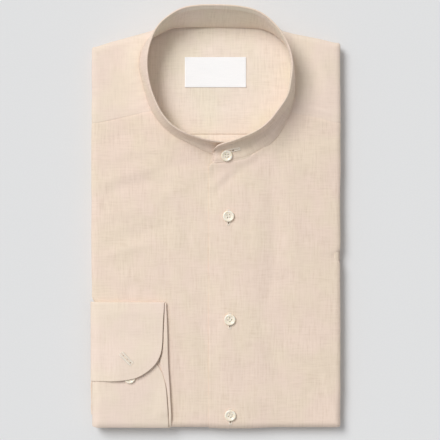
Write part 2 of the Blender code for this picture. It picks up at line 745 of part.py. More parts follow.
def make_button(name, place, facing, cutter, finish, parts):
    """One button at a place, its face turned the way it looks."""
    data = button_mesh(name)
    data.materials.append(finish)
    data.shade_smooth()
    data.set_sharp_from_angle(angle=math.radians(40))
    piece = bpy.data.objects.new(name, data)
    piece.location = Vector(place) * MM
    piece.rotation_mode = "QUATERNION"
    piece.rotation_quaternion = Vector(facing).to_track_quat("Z", "Y")
    parts.objects.link(piece)
    pins = bpy.data.objects.new(name + " holes", cutter.data)
    pins.parent = piece
    pins.hide_render = True
    pins.display_type = "WIRE"
    cutter.users_collection[0].objects.link(pins)
    holes = piece.modifiers.new("thread holes", "BOOLEAN")
    holes.operation = "DIFFERENCE"
    holes.solver = "EXACT"
    holes.object = pins
    return piece


def make_buttons(lines, finish, parts, cutters):
    """Placket, collar and cuff buttons."""
    cutter = button_cutter(cutters)
    for number, (x, y) in enumerate(FRONT_BUTTONS, start=1):
        place = (x, y, pack_top(x, y) + STEP + BUTTON_SEAT)
        facing = pack_facing(x, y)
        make_button(f"button_front_{number}", place, facing, cutter, finish, parts)
    line = BUTTON_STATION * BAND_STEPS
    along = lines[line + 1][BUTTON_ROW] - lines[line - 1][BUTTON_ROW]
    up = lines[line][BUTTON_ROW + BUTTON_REACH] - lines[line][BUTTON_ROW - BUTTON_REACH]
    facing = up.cross(along).normalized()
    place = lines[line][BUTTON_ROW] + facing * (0.5 * BAND_WALL + BUTTON_CLEARANCE)
    make_button("button_collar", place, facing, cutter, finish, parts)
    x, y = CUFF_BUTTON
    place = (x, y, pack_top(x, y) + 2.0 * (GAP + CUFF_WALL) + BUTTON_SEAT)
    make_button("button_cuff", place, pack_facing(x, y), cutter, finish, parts)


def centre_parts(parts):
    """Moves the shirt so that its box is centred over the origin."""
    bpy.context.view_layer.update()
    graph = bpy.context.evaluated_depsgraph_get()
    corners = []
    for piece in parts.objects:
        shape = piece.evaluated_get(graph)
        corners += [piece.matrix_world @ vertex.co for vertex in shape.data.vertices]
    shift = Vector((0.0, 0.0, 0.0))
    for axis in (0, 1):
        values = [corner[axis] for corner in corners]
        shift[axis] = -0.5 * (min(values) + max(values))
    for piece in parts.objects:
        piece.location += shift


def main():
    """Clears the scene and builds the folded shirt."""
    for item in list(bpy.data.objects):
        bpy.data.objects.remove(item)
    parts = bpy.data.collections.new(NAME)
    cutters = bpy.data.collections.new("cutters")
    bpy.context.scene.collection.children.link(parts)
    bpy.context.scene.collection.children.link(cutters)
    cloth = material("linen", CLOTH_COLOUR, 0.9)
    inner = material("linen inside", INNER_COLOUR, 0.9)
    make_layers(cloth, parts)
    make_fronts(cloth, parts)
    make_yoke(cloth, parts)
    make_inside(inner, parts)
    make_label(material("label", LABEL_COLOUR, 0.7), parts)
    lines = band_lines()
    make_band(lines, cloth, parts)
    make_cuff(cloth, parts)
    make_sleeve(cloth, parts)
    make_buttons(lines, material("shell button", BUTTON_COLOUR, 0.25), parts, cutters)
    centre_parts(parts)


main()
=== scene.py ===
"""Looks of the folded band collar shirt: cloth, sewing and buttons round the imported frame.

Sizes are in millimetres on the table that the shirt lies on: x across, y towards the
collar, z up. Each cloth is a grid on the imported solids' form, moved out by its folds,
seams and creases, and given a thickness with rounded edges. Flat places, where the
cloth is unrolled, steer its weave.
"""
import math

import bmesh
import bpy
import numpy as np
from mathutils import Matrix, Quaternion, Vector


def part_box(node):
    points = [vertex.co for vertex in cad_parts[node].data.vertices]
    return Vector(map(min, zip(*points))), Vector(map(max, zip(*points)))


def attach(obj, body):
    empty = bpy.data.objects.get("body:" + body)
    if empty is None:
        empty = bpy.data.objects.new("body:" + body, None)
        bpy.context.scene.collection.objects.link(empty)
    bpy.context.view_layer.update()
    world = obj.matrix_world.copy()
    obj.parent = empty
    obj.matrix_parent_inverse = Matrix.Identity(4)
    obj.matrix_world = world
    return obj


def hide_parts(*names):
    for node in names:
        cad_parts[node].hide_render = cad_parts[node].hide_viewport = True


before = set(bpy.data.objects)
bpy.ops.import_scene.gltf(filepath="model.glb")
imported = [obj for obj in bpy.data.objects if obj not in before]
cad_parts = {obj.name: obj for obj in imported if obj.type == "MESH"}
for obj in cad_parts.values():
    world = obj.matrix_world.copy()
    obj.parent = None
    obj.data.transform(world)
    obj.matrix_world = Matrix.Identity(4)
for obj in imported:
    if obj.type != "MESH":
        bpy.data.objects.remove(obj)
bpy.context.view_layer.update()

MM = 0.001
GRID = 1.6

# The pack, as the solids have it.
FIELD_LEFT, FIELD_RIGHT, FIELD_BOTTOM = -111, 112, -194
FIELD_MIDDLE, HALF_WIDTH, HALF_LENGTH = -12, 112, 182
EDGE_TOP, CROWN = 17, 4
NOSE_REACH, SIDE_NOSE_Z, END_NOSE_Z = 6, 12.8, 9.8
DROP_START, DROP_END = -161, -191.5
CUFF_TUCK, CUFF_TUCK_START, CUFF_TUCK_END = 3, -76, -84
LAST_TURN, TURN_STEP, TURN_ARC = 150, 10, 5.2
CORNER_POWER, CORNER_X = 5, 105
STEP, GAP = 1.5, 0.3

# Thickness of each cloth.
CLOTH, BAND_CLOTH, CUFF_CLOTH, LABEL_CLOTH, SLEEVE_CLOTH = 0.8, 1.6, 1, 0.45, 1.5

# Front opening. The left front's doubled edge laps over the right front.
PLACKET_EDGE, PLACKET_SEAM, PLACKET_PLY = -6, 32, 0.1
LIFT_FULL, LIFT_NONE = 24, 66
EDGE_DIP, EDGE_DIP_START, EDGE_THIN = 0.8, 8, 0.4
RIGHT_FRONT_EDGE, FRONT_ROWS = 29, 178
RIGHT_FRONT_TOP = (
    (-111, 87.7), (-60, 98.6), (-50.7, 84.9), (-40, 75.9), (-26.4, 68.5), (-8.4, 60), (0, 57), (12, 55),
    (29, 55),
)
LEFT_FRONT_TOP = (
    (-6, 46.5), (-3, 49.3), (10, 50.4), (20, 51.5), (29.6, 54), (42.8, 61.4), (53.6, 69.6), (61.6, 80.2),
    (67, 89.5), (70, 97.3), (112, 88),
)
# Where a front passes the neck and tucks under the yoke, and how far it goes under.
LEFT_NECK_SIDE, RIGHT_NECK_SIDE = (69, 71.5), (-59, -61.5)
UNDER_YOKE = 3

# The fold over the shoulders, x to y.
TOP_EDGE = (
    (-111, 153.3), (-90, 160), (-70, 165.2), (-60, 168), (-54, 170.6), (-48, 175.4), (-40, 178.2),
    (-20, 178.9), (0, 179.1), (20, 178.9), (40, 178.3), (48, 176.9), (55, 172.6), (61, 168.9),
    (72, 165.8), (92, 161.8), (112, 157.2),
)

# Yoke, round the neck: foot_x, foot_y on the neck seam, edge_x, edge_y on the field's
# bound, and the way out there in degrees.
YOKE_STATIONS = (
    (-60, 98.4, -111, 87.4, 180), (-67.2, 120.6, -111, 113, 180), (-71.8, 145, -111, 140, 180),
    (-71, 151.5, -111, 153.3, 180), (-71, 151.5, -111, 153.3, 108), (-69, 156.5, -97, 157.8, 107),
    (-66, 161.5, -84, 161.5, 105), (-61, 165.9, -70, 165.2, 106), (-54, 169.6, -60, 168, 110),
    (-50.5, 171.6, -54, 170.6, 120), (-46, 174, -48, 175.4, 120), (-39.5, 176.4, -40, 178.2, 106),
    (-20, 177.3, -20, 178.9, 92), (0, 177.5, 0, 179.1, 90), (20, 177.2, 20, 178.9, 88),
    (39.5, 176.3, 40, 178.3, 80), (47.5, 174.3, 48, 176.9, 66), (54, 171, 55, 172.6, 58),
    (59, 167.4, 61, 168.9, 66), (63, 163.5, 72, 165.8, 75), (68, 157.5, 82, 163.8, 76),
    (71.5, 151, 97, 160.7, 76), (72.9, 145, 112, 157.2, 74), (72.9, 145, 112, 157.2, 0),
    (74.5, 133, 112, 141, 0), (75, 121, 112, 128, 0), (73.5, 108, 112, 110, 0), (70, 97.1, 112, 87.7, 0),
)
YOKE_GRID, YOKE_COLUMNS = 1.7, 27

# Collar band: foot_x, foot_y, rim_x, rim_y, rim_z, sag, lap, press, from the hidden
# underlap end round the back to the overlap end. sag is how far its middle dips inwards,
# and press how flat its lower part lies before it curls up, from 0 to 1.
BAND_STATIONS = (
    (22, 55.2, 19, 69.8, 35.2, 3, 0, 1), (12, 55.3, 11, 68.6, 36.2, 3, 0, 1),
    (1, 56.9, 2.5, 68.8, 37.4, 2.5, 0, 1), (-8.4, 60.1, -11.8, 71.2, 39.4, 2, 0, 0.9),
    (-26.4, 68.5, -24.3, 74.6, 42.6, 1, 0, 0.8), (-40, 75.8, -34.9, 79.9, 45, 0.5, 0, 0.7),
    (-50.7, 84.9, -43.7, 86.9, 47, 0, 0, 0.6), (-60, 98.7, -52.5, 99.2, 48, 0, 0, 0.5),
    (-67.2, 120.6, -60.6, 120, 49.2, -0.5, 0, 0.4), (-71.8, 142, -63.6, 142.6, 49.5, -0.5, 0, 0.3),
    (-66, 161.5, -59.8, 162, 49.5, -0.5, 0, 0.1), (-54, 169.8, -51.4, 177.4, 49.5, 0, 0, 0),
    (-40, 176.4, -34.6, 189.8, 49.5, 0.5, 0, 0), (-20, 177.4, -18, 193.9, 49.5, 0.5, 0, 0),
    (0, 177.6, 1.4, 194.4, 49.5, 0.5, 0, 0), (22, 177.2, 23, 193, 49.5, 0.5, 0, 0),
    (40, 176.4, 41.2, 187.8, 49.5, 0.5, 0, 0), (55, 170.6, 56, 175.6, 49.5, 0, 0, 0),
    (68, 157.5, 66.6, 159, 49.5, 0, 0, 0.1), (72.9, 144, 71.1, 141.7, 49.5, 0, 0, 0.2),
    (75, 124, 69.6, 123, 49, 0.5, 0, 0.25), (73, 106, 66.1, 109.7, 48.5, 1, 0, 0.3),
    (64.6, 85, 54, 92.2, 47, 2.5, 0, 0.35), (53.6, 69.6, 44.8, 83, 45, 4, 0, 0.5),
    (42.8, 61.4, 36, 77.4, 42.6, 5, 0.3, 0.8), (29.6, 54, 25, 72.7, 40.4, 6, 1, 1),
    (18, 51.4, 16, 69.3, 38.8, 6.5, 1, 1), (10.6, 50.5, 10.8, 67.8, 37.8, 6.5, 1, 1),
    (1, 49.7, 3, 65.2, 36, 6, 1, 1), (-3, 49.4, -1.9, 61.3, 32, 4, 1, 1),
)
BAND_STEPS, BAND_ROWS = 9, 24
BAND_INSET, FOOT_INSET = 4.6, 2
BAND_LAP, FOOT_SINK, FOOT_CLOTH, PRESS_POWER = 2.1, 0.6, 0.5, 3
END_CLOTH, END_SINK, END_COLUMNS = 0.2, 1.9, 9

# Inside the neck. The cloth is smooth under the label, between these pairs of x and y.
INNER_HALF_WIDTH, INNER_SEAM_Y, INNER_ROWS = 78, 76.5, 64
BACK_HALF_WIDTH, BACK_BOTTOM = 62, 40
LABEL_LEFT, LABEL_RIGHT, LABEL_BOTTOM, LABEL_TOP = -28.7, 28.6, 120.6, 148.8
LABEL_CENTRE = (0.5 * (LABEL_LEFT + LABEL_RIGHT), 0.5 * (LABEL_BOTTOM + LABEL_TOP))
LABEL_ACROSS, LABEL_ALONG = ((-34, -26), (34, 26)), ((115, 123), (154, 146))

# Cuff: y and the right end of its cloth there, for each of its three layers.
CUFF_FLAP = (
    (-86, -48.6), (-99, -49.5), (-112, -50), (-121, -50.4), (-130.5, -52), (-139.5, -56.9),
    (-147, -65.1), (-152.3, -74.9), (-154.6, -86), (-155.6, -98),
)
CUFF_UNDERLAP = (
    (-134, -66), (-137, -59.5), (-140.5, -55.4), (-148.7, -50.4), (-160, -47.4), (-167.3, -46.5),
    (-174, -46), (-186.3, -45.2), (-196.4, -44.8),
)
CUFF_BACK = (
    (-196.4, -42), (-186.3, -42.1), (-174, -42.8), (-159.5, -43.6), (-144, -44.6), (-128, -45.2),
    (-112, -45.5), (-96, -46), (-86.8, -46.6),
)
CUFF_TOP_FOLD, CUFF_BOTTOM_FOLD = -83.1, -198.4
CUFF_LAYERS = tuple(GAP + CUFF_CLOTH * (0.5 + ply) + GAP * ply for ply in range(3))
CUFF_INSET, CUFF_COLUMNS, EDGE_STEPS = 4.6, 48, 12
FLAP_RISE_SPAN, UNDERLAP_LIFT = 18, 1.4
# Where the open end of the back half starts to curl up: -y and x.
CHANNEL = (
    (84, -47.9), (99, -48.7), (112, -49.2), (121, -49.6), (130.5, -50.9), (137, -52.5), (144, -51.1),
    (148.7, -49.5), (160, -46.4), (167.3, -45.5), (174, -45), (186.3, -44.2), (196.4, -43.8),
)
BACK_LIFT, CURL_SPAN = 2, 0.9

SLEEVE_TOP, SLEEVE_BOTTOM = -85, -190
SLEEVE_FIRST_TURN, SLEEVE_LAST_TURN = 96, 122

# Hidden layers: out from the field and z, for the sides and then for the bottom fold.
LAYER_PROFILE = (
    (1, 9.9, 1, 4.3), (1, 8.8, 1, 2.4), (4.6, 8.4, 4, 1.7), (5.6, 7.2, 4, 1.7), (4.8, 6.1, 4, 1.7),
    (2.8, 5.8, 4, 1.7), (4.4, 5.4, 4, 1.7), (5.2, 4.4, 4, 1.7), (4.4, 3.4, 4, 1.7), (2.6, 3.1, 4, 1.7),
    (4.8, 2.7, 4, 1.7), (5.8, 1.4, 5, 1), (4.6, 0, 4.4, 0),
)
LAYER_MIDDLE, LAYER_FOOT = (0, -18), 4.4
# Shares of the way from the middle to the edge, for the hidden top and for the underside.
TOP_SHARES, FOOT_SHARES = (0.02, 0.5, 0.94), (0.985, 0.97, 0.95, 0.92, 0.88, 0.8, 0.6, 0.3, 0.02)

# Buttons: centre on the cloth, and which way their thread holes are turned.
FRONT_BUTTONS = ((12.2, -0.8, 10), (13.4, -98, 38), (13.9, -188.2, 64))
CUFF_BUTTON = (-80.6, -152.6, 20)
BUTTON_RADIUS, BUTTON_HEIGHT, BUTTON_SEAT = 5.4, 2.2, 0.35
BUTTON_SECTION = (
    (0, 0), (0.8, 0), (0.92, 0.1), (0.985, 0.3), (1, 0.5), (0.985, 0.72), (0.94, 0.9), (0.87, 0.985),
    (0.8, 1), (0.73, 0.96), (0.66, 0.84), (0.58, 0.7), (0.46, 0.62), (0.25, 0.58), (0, 0.57),
)
HOLE_RADIUS, THREAD_HEIGHT, THREAD_PAIR = 0.62, 1.35, 0.26
BUTTON_HOLES = ((-1.2, -1.2, 0), (1.2, -1.2, 0), (1.2, 1.2, 0), (-1.2, 1.2, 0))
# The band's button and buttonhole, by their places in the band's grid.
BUTTON_STATION, BUTTON_ROW, BUTTON_REACH = 27, 6, 5
HOLE_ROWS, HOLE_COLUMNS = 5, 14

# Buttonholes: ends, width, thread, and dark beads in the slit, painted as its shade: share along it,
# length, radius.
FRONT_HOLE = (-7.8, 5.4)
CUFF_HOLE = ((-88.6, -129.4), (-78.4, -139.6))
FRONT_STITCHES = (2.8, ((0.12, 2.6, 0.42),), 0.3)
BAND_STITCHES = (3.2, ((0.47, 1.8, 0.55),), 0.45)
CUFF_STITCHES = (4.6, ((0.2, 0.7, 0.3), (0.6, 0.7, 0.3), (0.9, 1, 0.36)), 0.36)

# Stitches: a rounded thread's section along its length, and how it is sewn.
STITCH_PROFILE, STITCH_SIDES = ((-0.36, 0.72), (0, 1), (0.36, 0.72)), 6
STITCH_PITCH, STITCH_LENGTH, STITCH_RADIUS = 2.5, 2, 0.16
FOLD_STITCHES = 8

# Creases: start x, y, end x, y, half width, height (less than 0 is a trough).
# All are worn in by the same factor.
CREASE_DEPTH = 1.4
CREASES_RIGHT = (
    (-114, 27, -56, 43, 5.5, 0.45), (-108, 17, -44, 33, 6.5, -0.5), (-70, 34, -14, 50, 5, -0.35),
    (-112, -6, -66, 6, 6, 0.4), (-104, -30, -40, -10, 7, -0.5), (-112, -42, -58, -28, 5, 0.4),
    (-60, 4, -36, 26, 5, 0.35), (-42, 34, -38, -32, 5, 0.3), (-50, -20, -46, -70, 7, -0.35),
    (-30, 6, -26, -44, 6, -0.3), (-112, 66, -70, 78, 6, -0.35), (-98, 56, -40, 60, 5, 0.3),
    (-28, -96, -20, -150, 7, 0.3), (-38, -120, -34, -186, 6, -0.35), (-16, -60, -12, -120, 6, -0.25),
    (-94, -58, -40, -66, 6, 0.3),
)
CREASES_LEFT = (
    (-3, 17, 27, 44, 4.5, -0.45), (-2, 26, 20, 46, 3.5, 0.3), (24, 30, 22, -12, 5, 0.25),
    (51, 36, 47, -88, 6.5, -0.55), (38, 22, 36, -40, 5.5, 0.35), (66, 30, 74, -60, 8, 0.35),
    (78, 42, 104, 20, 7, -0.5), (88, 64, 110, 44, 6, 0.35), (76, 8, 112, -14, 6, 0.35),
    (84, -20, 118, -38, 5, -0.45), (60, -70, 108, -96, 7, 0.35), (40, -104, 60, -160, 6.5, -0.5),
    (66, -118, 96, -150, 5.5, 0.45), (74, -134, 112, -160, 5, -0.45), (58, -150, 92, -188, 5.5, -0.4),
    (92, -120, 110, -190, 5, 0.35), (20, -110, 26, -176, 5.5, -0.3), (2, -60, 6, -130, 4.5, 0.2),
    (34, -168, 70, -196, 5, 0.35), (100, 84, 112, 70, 5, -0.3),
)
CREASES_YOKE = (
    (-104, 150, -84, 120, 5.5, 0.35), (-112, 128, -84, 104, 6, -0.35), (-80, 158, -76, 120, 5, 0.35),
    (-100, 104, -72, 100, 5, 0.25), (84, 160, 92, 112, 6, -0.4), (80, 142, 84, 108, 5, 0.3),
    (96, 152, 106, 120, 5, 0.4), (92, 116, 112, 98, 5, -0.3), (-30, 180, -26, 172, 4, 0.2),
    (34, 180, 30, 172, 4, 0.2), (88, 100, 112, 94, 1.6, 0.25), (84, 104, 108, 99, 1.5, -0.2),
    (80, 150, 98, 143, 1.8, 0.2),
)
CREASES_INSIDE = (
    (-58, 168, -36, 150, 6, -0.4), (-48, 150, -44, 96, 6, 0.3), (40, 158, 58, 132, 5, 0.35),
    (-36, 108, 30, 100, 6, -0.3), (36, 116, 60, 104, 5, -0.3), (-20, 92, 24, 90, 5, 0.25),
    (-8, 168, 34, 164, 5, 0.25), (44, 96, 40, 84, 5, 0.25), (48, 146, 70, 144, 1.6, 0.22),
    (50, 138, 70, 137, 1.4, -0.2), (48, 128, 68, 129, 1.6, 0.22), (44, 120, 66, 119, 1.5, -0.2),
    (46, 110, 62, 112, 1.6, 0.2), (42, 102, 58, 101, 1.5, -0.18),
)
CREASES_CUFF = (
    (-112, -96, -60, -90, 5, 0.2), (-100, -112, -58, -120, 5, -0.2), (-112, -128, -84, -134, 5, 0.25),
    (-96, -168, -56, -178, 5, -0.25), (-112, -176, -80, -170, 5, 0.25), (-70, -156, -52, -186, 4.5, 0.2),
)
# On the band, x is the way along it and y the way up.
CREASES_BAND = (
    (362, 9, 414, 19, 2.2, -0.6), (370, 4, 405, 8, 2.5, 0.5), (408, 12, 430, 13, 2.5, 0.35),
    (330, 6, 352, 14, 3, -0.35), (20, 14, 60, 18, 2.5, -0.35), (60, 8, 100, 10, 3, 0.3),
)
# A pinch in the fold at the right edge: x and y unrolled, reach in x and y, depth.
PINCH = (119, -38.5, 8, 4.2, -3.2)

# Neck roll: the cloth rises towards the band's foot, but not at the buttoned front.
NECK_RISE, NECK_REACH = 3.2, 11
FOOT_RISE, FOOT_REACH = 1.5, 5.5

CAMERA_X, CAMERA_Y, CAMERA_Z, CAMERA_LENS, CAMERA_SENSOR = 4.2, -4.4, 1800, 154.9, 36

# Soft lights: name, strength, spread, elevation and heading in degrees. Then the even sky.
KEY = ("key", 1.66, 26, 51, 222)
FILL = ("fill", 0.49, 16, 64, 238)
SKY_STRENGTH = 0.41

# The inside linen is the outer linen painted lighter: painted light for the inside of the neck and the
# band's inner ply, where less light falls.
LINEN, LINEN_INSIDE_PAINTED_LIGHT = (0.862, 0.716, 0.596), (0.885, 0.778, 0.664)
PRESSED_TINT, DARK_TINT, LIGHT_TINT = (1, 1.015, 1.035), (1, 0.985, 0.965), (1, 1.004, 1.01)
PINKISH, YELLOWISH = (1, 0.975, 0.985), (0.985, 0.99, 0.955)
THREADS = 2000
# Slubs along each thread: how they stretch, how their patches stretch, and how strong.
SLUBS = (((640, 62), (45, 30), 0.9), ((74, 700), (40, 60), 0.65))


def ramp(low, high, value):
    """Smooth step: 0 at low, 1 at high, in either order."""
    share = np.clip((np.asarray(value, float) - low) / (high - low), 0, 1)
    return share * share * (3 - 2 * share)


def lerp(first, second, share):
    """Value a share of the way from first to second."""
    return first + (second - first) * share


def spaced(low, high, step=GRID):
    """Even places, about a step apart."""
    return np.linspace(low, high, max(1, round(abs(high - low) / step)) + 1)


def unit(vectors):
    """Vectors of length one."""
    return vectors / np.maximum(np.linalg.norm(vectors, axis=-1, keepdims=True), 1e-12)


def stacked(*columns):
    """Columns as an array of places."""
    return np.stack(np.broadcast_arrays(*columns), axis=-1)


def running(steps):
    """Distance run after each step."""
    return np.concatenate([[0], np.cumsum(steps)])


def run_along(points):
    """Distance run at each point of a line."""
    return running(np.linalg.norm(np.diff(points, axis=0), axis=1))


def read_run(run, values, at):
    """Rows of values at places along a run."""
    return np.stack([np.interp(at, run, column) for column in values.T], axis=-1)


def carried_on(path, turns, order=1):
    """Path carried on over an edge: places, and the turn at each."""
    places = np.pad(path, (0, len(turns)), "edge")
    return places[::order], np.append(np.zeros(len(path)), turns)[::order]


def read_table(table, value):
    """Second column of a table, read by its first."""
    return np.interp(value, *np.array(table, float).T)


def smooth_rows(table, steps):
    """Rows of a table, with steps between them on a smooth curve."""
    rows = np.array(table, float)
    around = np.vstack([rows[:1], rows, rows[-1:]])
    result = []
    for a, b, c, d in zip(around, around[1:], around[2:], around[3:]):
        for share in np.arange(steps) / steps:
            square, cube = share ** 2, share ** 3
            result.append(0.5 * (
                2 * b + (c - a) * share + (2 * a - 5 * b + 4 * c - d) * square
                + (3 * (b - c) + d - a) * cube
            ))
    return np.array(result + [rows[-1]])


def wander(u, v, wide, long, seed):
    """Smooth random height from -1 to 1, in lumps."""
    lattice = np.random.default_rng(seed).uniform(-1, 1, (61, 67))
    across, along = np.asarray(u, float) / wide + 1000, np.asarray(v, float) / long + 1000
    column, row = np.floor(across).astype(int), np.floor(along).astype(int)
    right, up = ramp(0, 1, across - column), ramp(0, 1, along - row)
    corners = [lattice[(column + i) % 61, (row + j) % 67] for i in (0, 1) for j in (0, 1)]
    return lerp(lerp(*corners[:2], up), lerp(*corners[2:], up), right)


def crease(u, v, x0, y0, x1, y1, width, height):
    """Soft, slightly bent ridge or trough along a line."""
    length = math.hypot(x1 - x0, y1 - y0)
    way_x, way_y = (x1 - x0) / length, (y1 - y0) / length
    share = ((u - x0) * way_x + (v - y0) * way_y) / length
    bend = 0.05 * length * np.sin(math.pi * np.clip(share, -0.3, 1.3))
    aside = (v - y0) * way_x - (u - x0) * way_y - bend
    fade = ramp(-0.25, 0.3, share) * ramp(1.25, 0.7, share)
    return height * fade * np.exp(-(aside / width) ** 2)


def creases(table, u, v):
    """All creases of a table, together."""
    return CREASE_DEPTH * sum(crease(u, v, *row) for row in table)


def crumple(u, v, seed):
    """Unevenness of worn linen: slow waves and soft dents."""
    slow = 0.38 * wander(u + 0.4 * v, v, 34, 22, seed)
    middle = 0.1 * wander(u, v, 11, 15, seed + 1) + 0.08 * wander(u, v, 14, 8, seed + 2)
    small = 0.035 * wander(u, v, 4.2, 7, seed + 3) + 0.03 * wander(u, v, 7, 3.6, seed + 4)
    return slow + middle + small


def seam_groove(distance, depth, width):
    """Trough pressed by a line of stitches."""
    return -depth * np.exp(-(distance / width) ** 2)


def puckers(distance, along, height, reach, seed):
    """Small ripples across a seam."""
    return height * wander(along, distance * 0.3, 3.4, 40, seed) * np.exp(-(distance / reach) ** 2)


# The pack's form

def pack_top(x, y):
    """Height of the pack's crowned face."""
    across = 1 - np.clip(abs(x / HALF_WIDTH), 0, 1) ** 3
    along = 1 - np.clip(abs((y - FIELD_MIDDLE) / HALF_LENGTH), 0, 1) ** 4
    return EDGE_TOP + CROWN * across * along


def tucked(x, y):
    """x moved in where the sleeve and cuff wrap the left edge."""
    tuck = CUFF_TUCK * ramp(CUFF_TUCK_START, CUFF_TUCK_END, y)
    return x + tuck * ramp(FIELD_LEFT + 40, FIELD_LEFT, x)


def pack_point(x, y, turn=0, out_x=0, out_y=0, offset=0):
    """Points on the pack's face, or turned over its edge, moved out."""
    nose = lerp(SIDE_NOSE_Z, END_NOSE_Z, ramp(DROP_START, DROP_END, y))
    top = pack_top(x, y)
    fall = (top - pack_top(x + out_x, y + out_y)) * np.sin(turn) * np.clip(np.cos(turn), 0, 1) ** 2
    reach = (NOSE_REACH + offset) * np.sin(turn)
    height = nose + (top - nose + offset) * np.cos(turn) - fall * NOSE_REACH
    return stacked(x + out_x * reach, y + out_y * reach, height)


def corner_ways(beside, below):
    """Way out round a squared corner of the pack."""
    total = (abs(beside) ** CORNER_POWER + abs(below) ** CORNER_POWER) ** (1 / CORNER_POWER)
    return beside / np.maximum(total, 1e-9), below / np.maximum(total, 1e-9)


def flat_point(x, y, turn=0, out_x=0, out_y=0):
    """Places of the same points on the unrolled cloth."""
    arc = turn * TURN_ARC
    return stacked(x + out_x * arc, y + out_y * arc)


NECK = smooth_rows(BAND_STATIONS, BAND_STEPS)[:, :2]
TURNS = np.radians(spaced(0, LAST_TURN, TURN_STEP))[1:]


def neck_rise(x, y):
    """Rise of the cloth towards the neck seam."""
    near = 1e9
    for seam_x, seam_y in NECK[BAND_STEPS:-BAND_STEPS:3]:
        near = np.minimum(near, (x - seam_x) ** 2 + (y - seam_y) ** 2)
    sides = np.maximum(ramp(-2, -24, x), ramp(38, 60, x))
    return NECK_RISE * sides * np.exp(-near / NECK_REACH ** 2)


def placket_lift(x):
    """Rise of the left front over the right front."""
    return STEP * ramp(LIFT_NONE, LIFT_FULL, x) - EDGE_DIP * ramp(EDGE_DIP_START, PLACKET_EDGE, x)


# Meshes and pieces

def grid_normals(points):
    """Unit normals of a grid of points."""
    return unit(np.cross(np.gradient(points, axis=1), np.gradient(points, axis=0)))


def quads(index):
    """Faces between neighbours in a grid of vertex numbers."""
    corners = index[:-1, :-1], index[:-1, 1:], index[1:, 1:], index[1:, :-1]
    return np.stack(corners, axis=-1).reshape(-1, 4)


def shell(points, flat, thickness, centred=False):
    """Cloth on a grid of points, its edges rounded: vertices, faces and flat places."""
    normals = grid_normals(points)
    rows, columns = points.shape[:2]
    count = rows * columns
    half = np.broadcast_to(0.5 * thickness, (rows, columns))[..., None]
    middle = points if centred else points - normals * half
    index = np.arange(count).reshape(rows, columns)
    border = np.concatenate([index[0, :-1], index[:-1, -1], index[-1, :0:-1], index[:0:-1, 0]])
    centre, facing, half = middle.reshape(-1, 3), normals.reshape(-1, 3), half.reshape(-1, 1)
    places = flat.reshape(-1, 2)
    tangent = np.roll(centre[border], -1, axis=0) - np.roll(centre[border], 1, axis=0)
    out = unit(np.cross(tangent, facing[border]))
    vertices, flats, rims = [centre + facing * half, centre - facing * half], [places, places], [border]
    for angle in np.radians((45, 90, 135)):
        rims.append(sum(map(len, vertices)) + np.arange(len(border)))
        swing = facing[border] * math.cos(angle) + out * math.sin(angle)
        vertices.append(centre[border] + swing * half[border])
        flats.append(places[border])
    rims.append(border + count)
    rim = np.array([np.append(line, line[0]) for line in rims])
    faces = [quads(index), quads(index + count)[:, ::-1], quads(rim)[:, ::-1]]
    return tuple(map(np.concatenate, (vertices, faces, flats)))


def joined(parts):
    """Several meshes as one."""
    vertices, faces, flats = zip(*parts)
    starts = np.cumsum([0] + [len(part) for part in vertices])
    faces = [part + start for part, start in zip(faces, starts)]
    return tuple(map(np.concatenate, (vertices, faces, flats)))


LABEL_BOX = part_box("label")
SHIFT = np.array([
    0.5 * (LABEL_BOX[0][axis] + LABEL_BOX[1][axis]) - LABEL_CENTRE[axis] * MM for axis in (0, 1)
] + [0])


def cut_size(faces, flat):
    """Flat cloth's width, length and area in metres. A shell has each place twice."""
    width, length = (flat.max(axis=0) - flat.min(axis=0)) * MM
    first, second = flat[faces[:, 2]] - flat[faces[:, 0]], flat[faces[:, 3]] - flat[faces[:, 1]]
    doubled = abs(first[:, 0] * second[:, 1] - first[:, 1] * second[:, 0]).sum()
    return (width, length), 0.25 * doubled * MM * MM


def placed(name, data):
    """Object of some data, linked into the scene."""
    item = bpy.data.objects.new(name, data)
    bpy.context.scene.collection.objects.link(item)
    return item


def link_piece(name, vertices, faces, finish):
    """Piece of a mesh, riding with the shirt."""
    mesh = bpy.data.meshes.new(name)
    mesh.from_pydata((vertices * MM + SHIFT).tolist(), [], faces)
    mesh.materials.append(finish)
    mesh.shade_smooth()
    mesh.validate()
    piece = placed(name, mesh)
    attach(piece, "root")
    return piece


def make_piece(node, shape, finish, rests_on=("folded_layers",), held="folded", caps=()):
    """Cloth in a node's stead, its weave mapped from its flat places."""
    vertices, faces, flat = shape
    piece = link_piece(node + "_cloth", vertices, faces.tolist() + list(caps), finish)
    mesh = piece.data
    corner = np.empty(len(mesh.loops), dtype=np.int32)
    mesh.loops.foreach_get("vertex_index", corner)
    weave = mesh.uv_layers.new(name="weave")
    weave.data.foreach_set("uv", (flat[corner] * MM).astype(np.float32).ravel())
    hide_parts(node)
    size, area = cut_size(faces, flat)
    return piece, {"flat": size, "area": area, "held": held, "rests_on": list(rests_on)}


# Materials

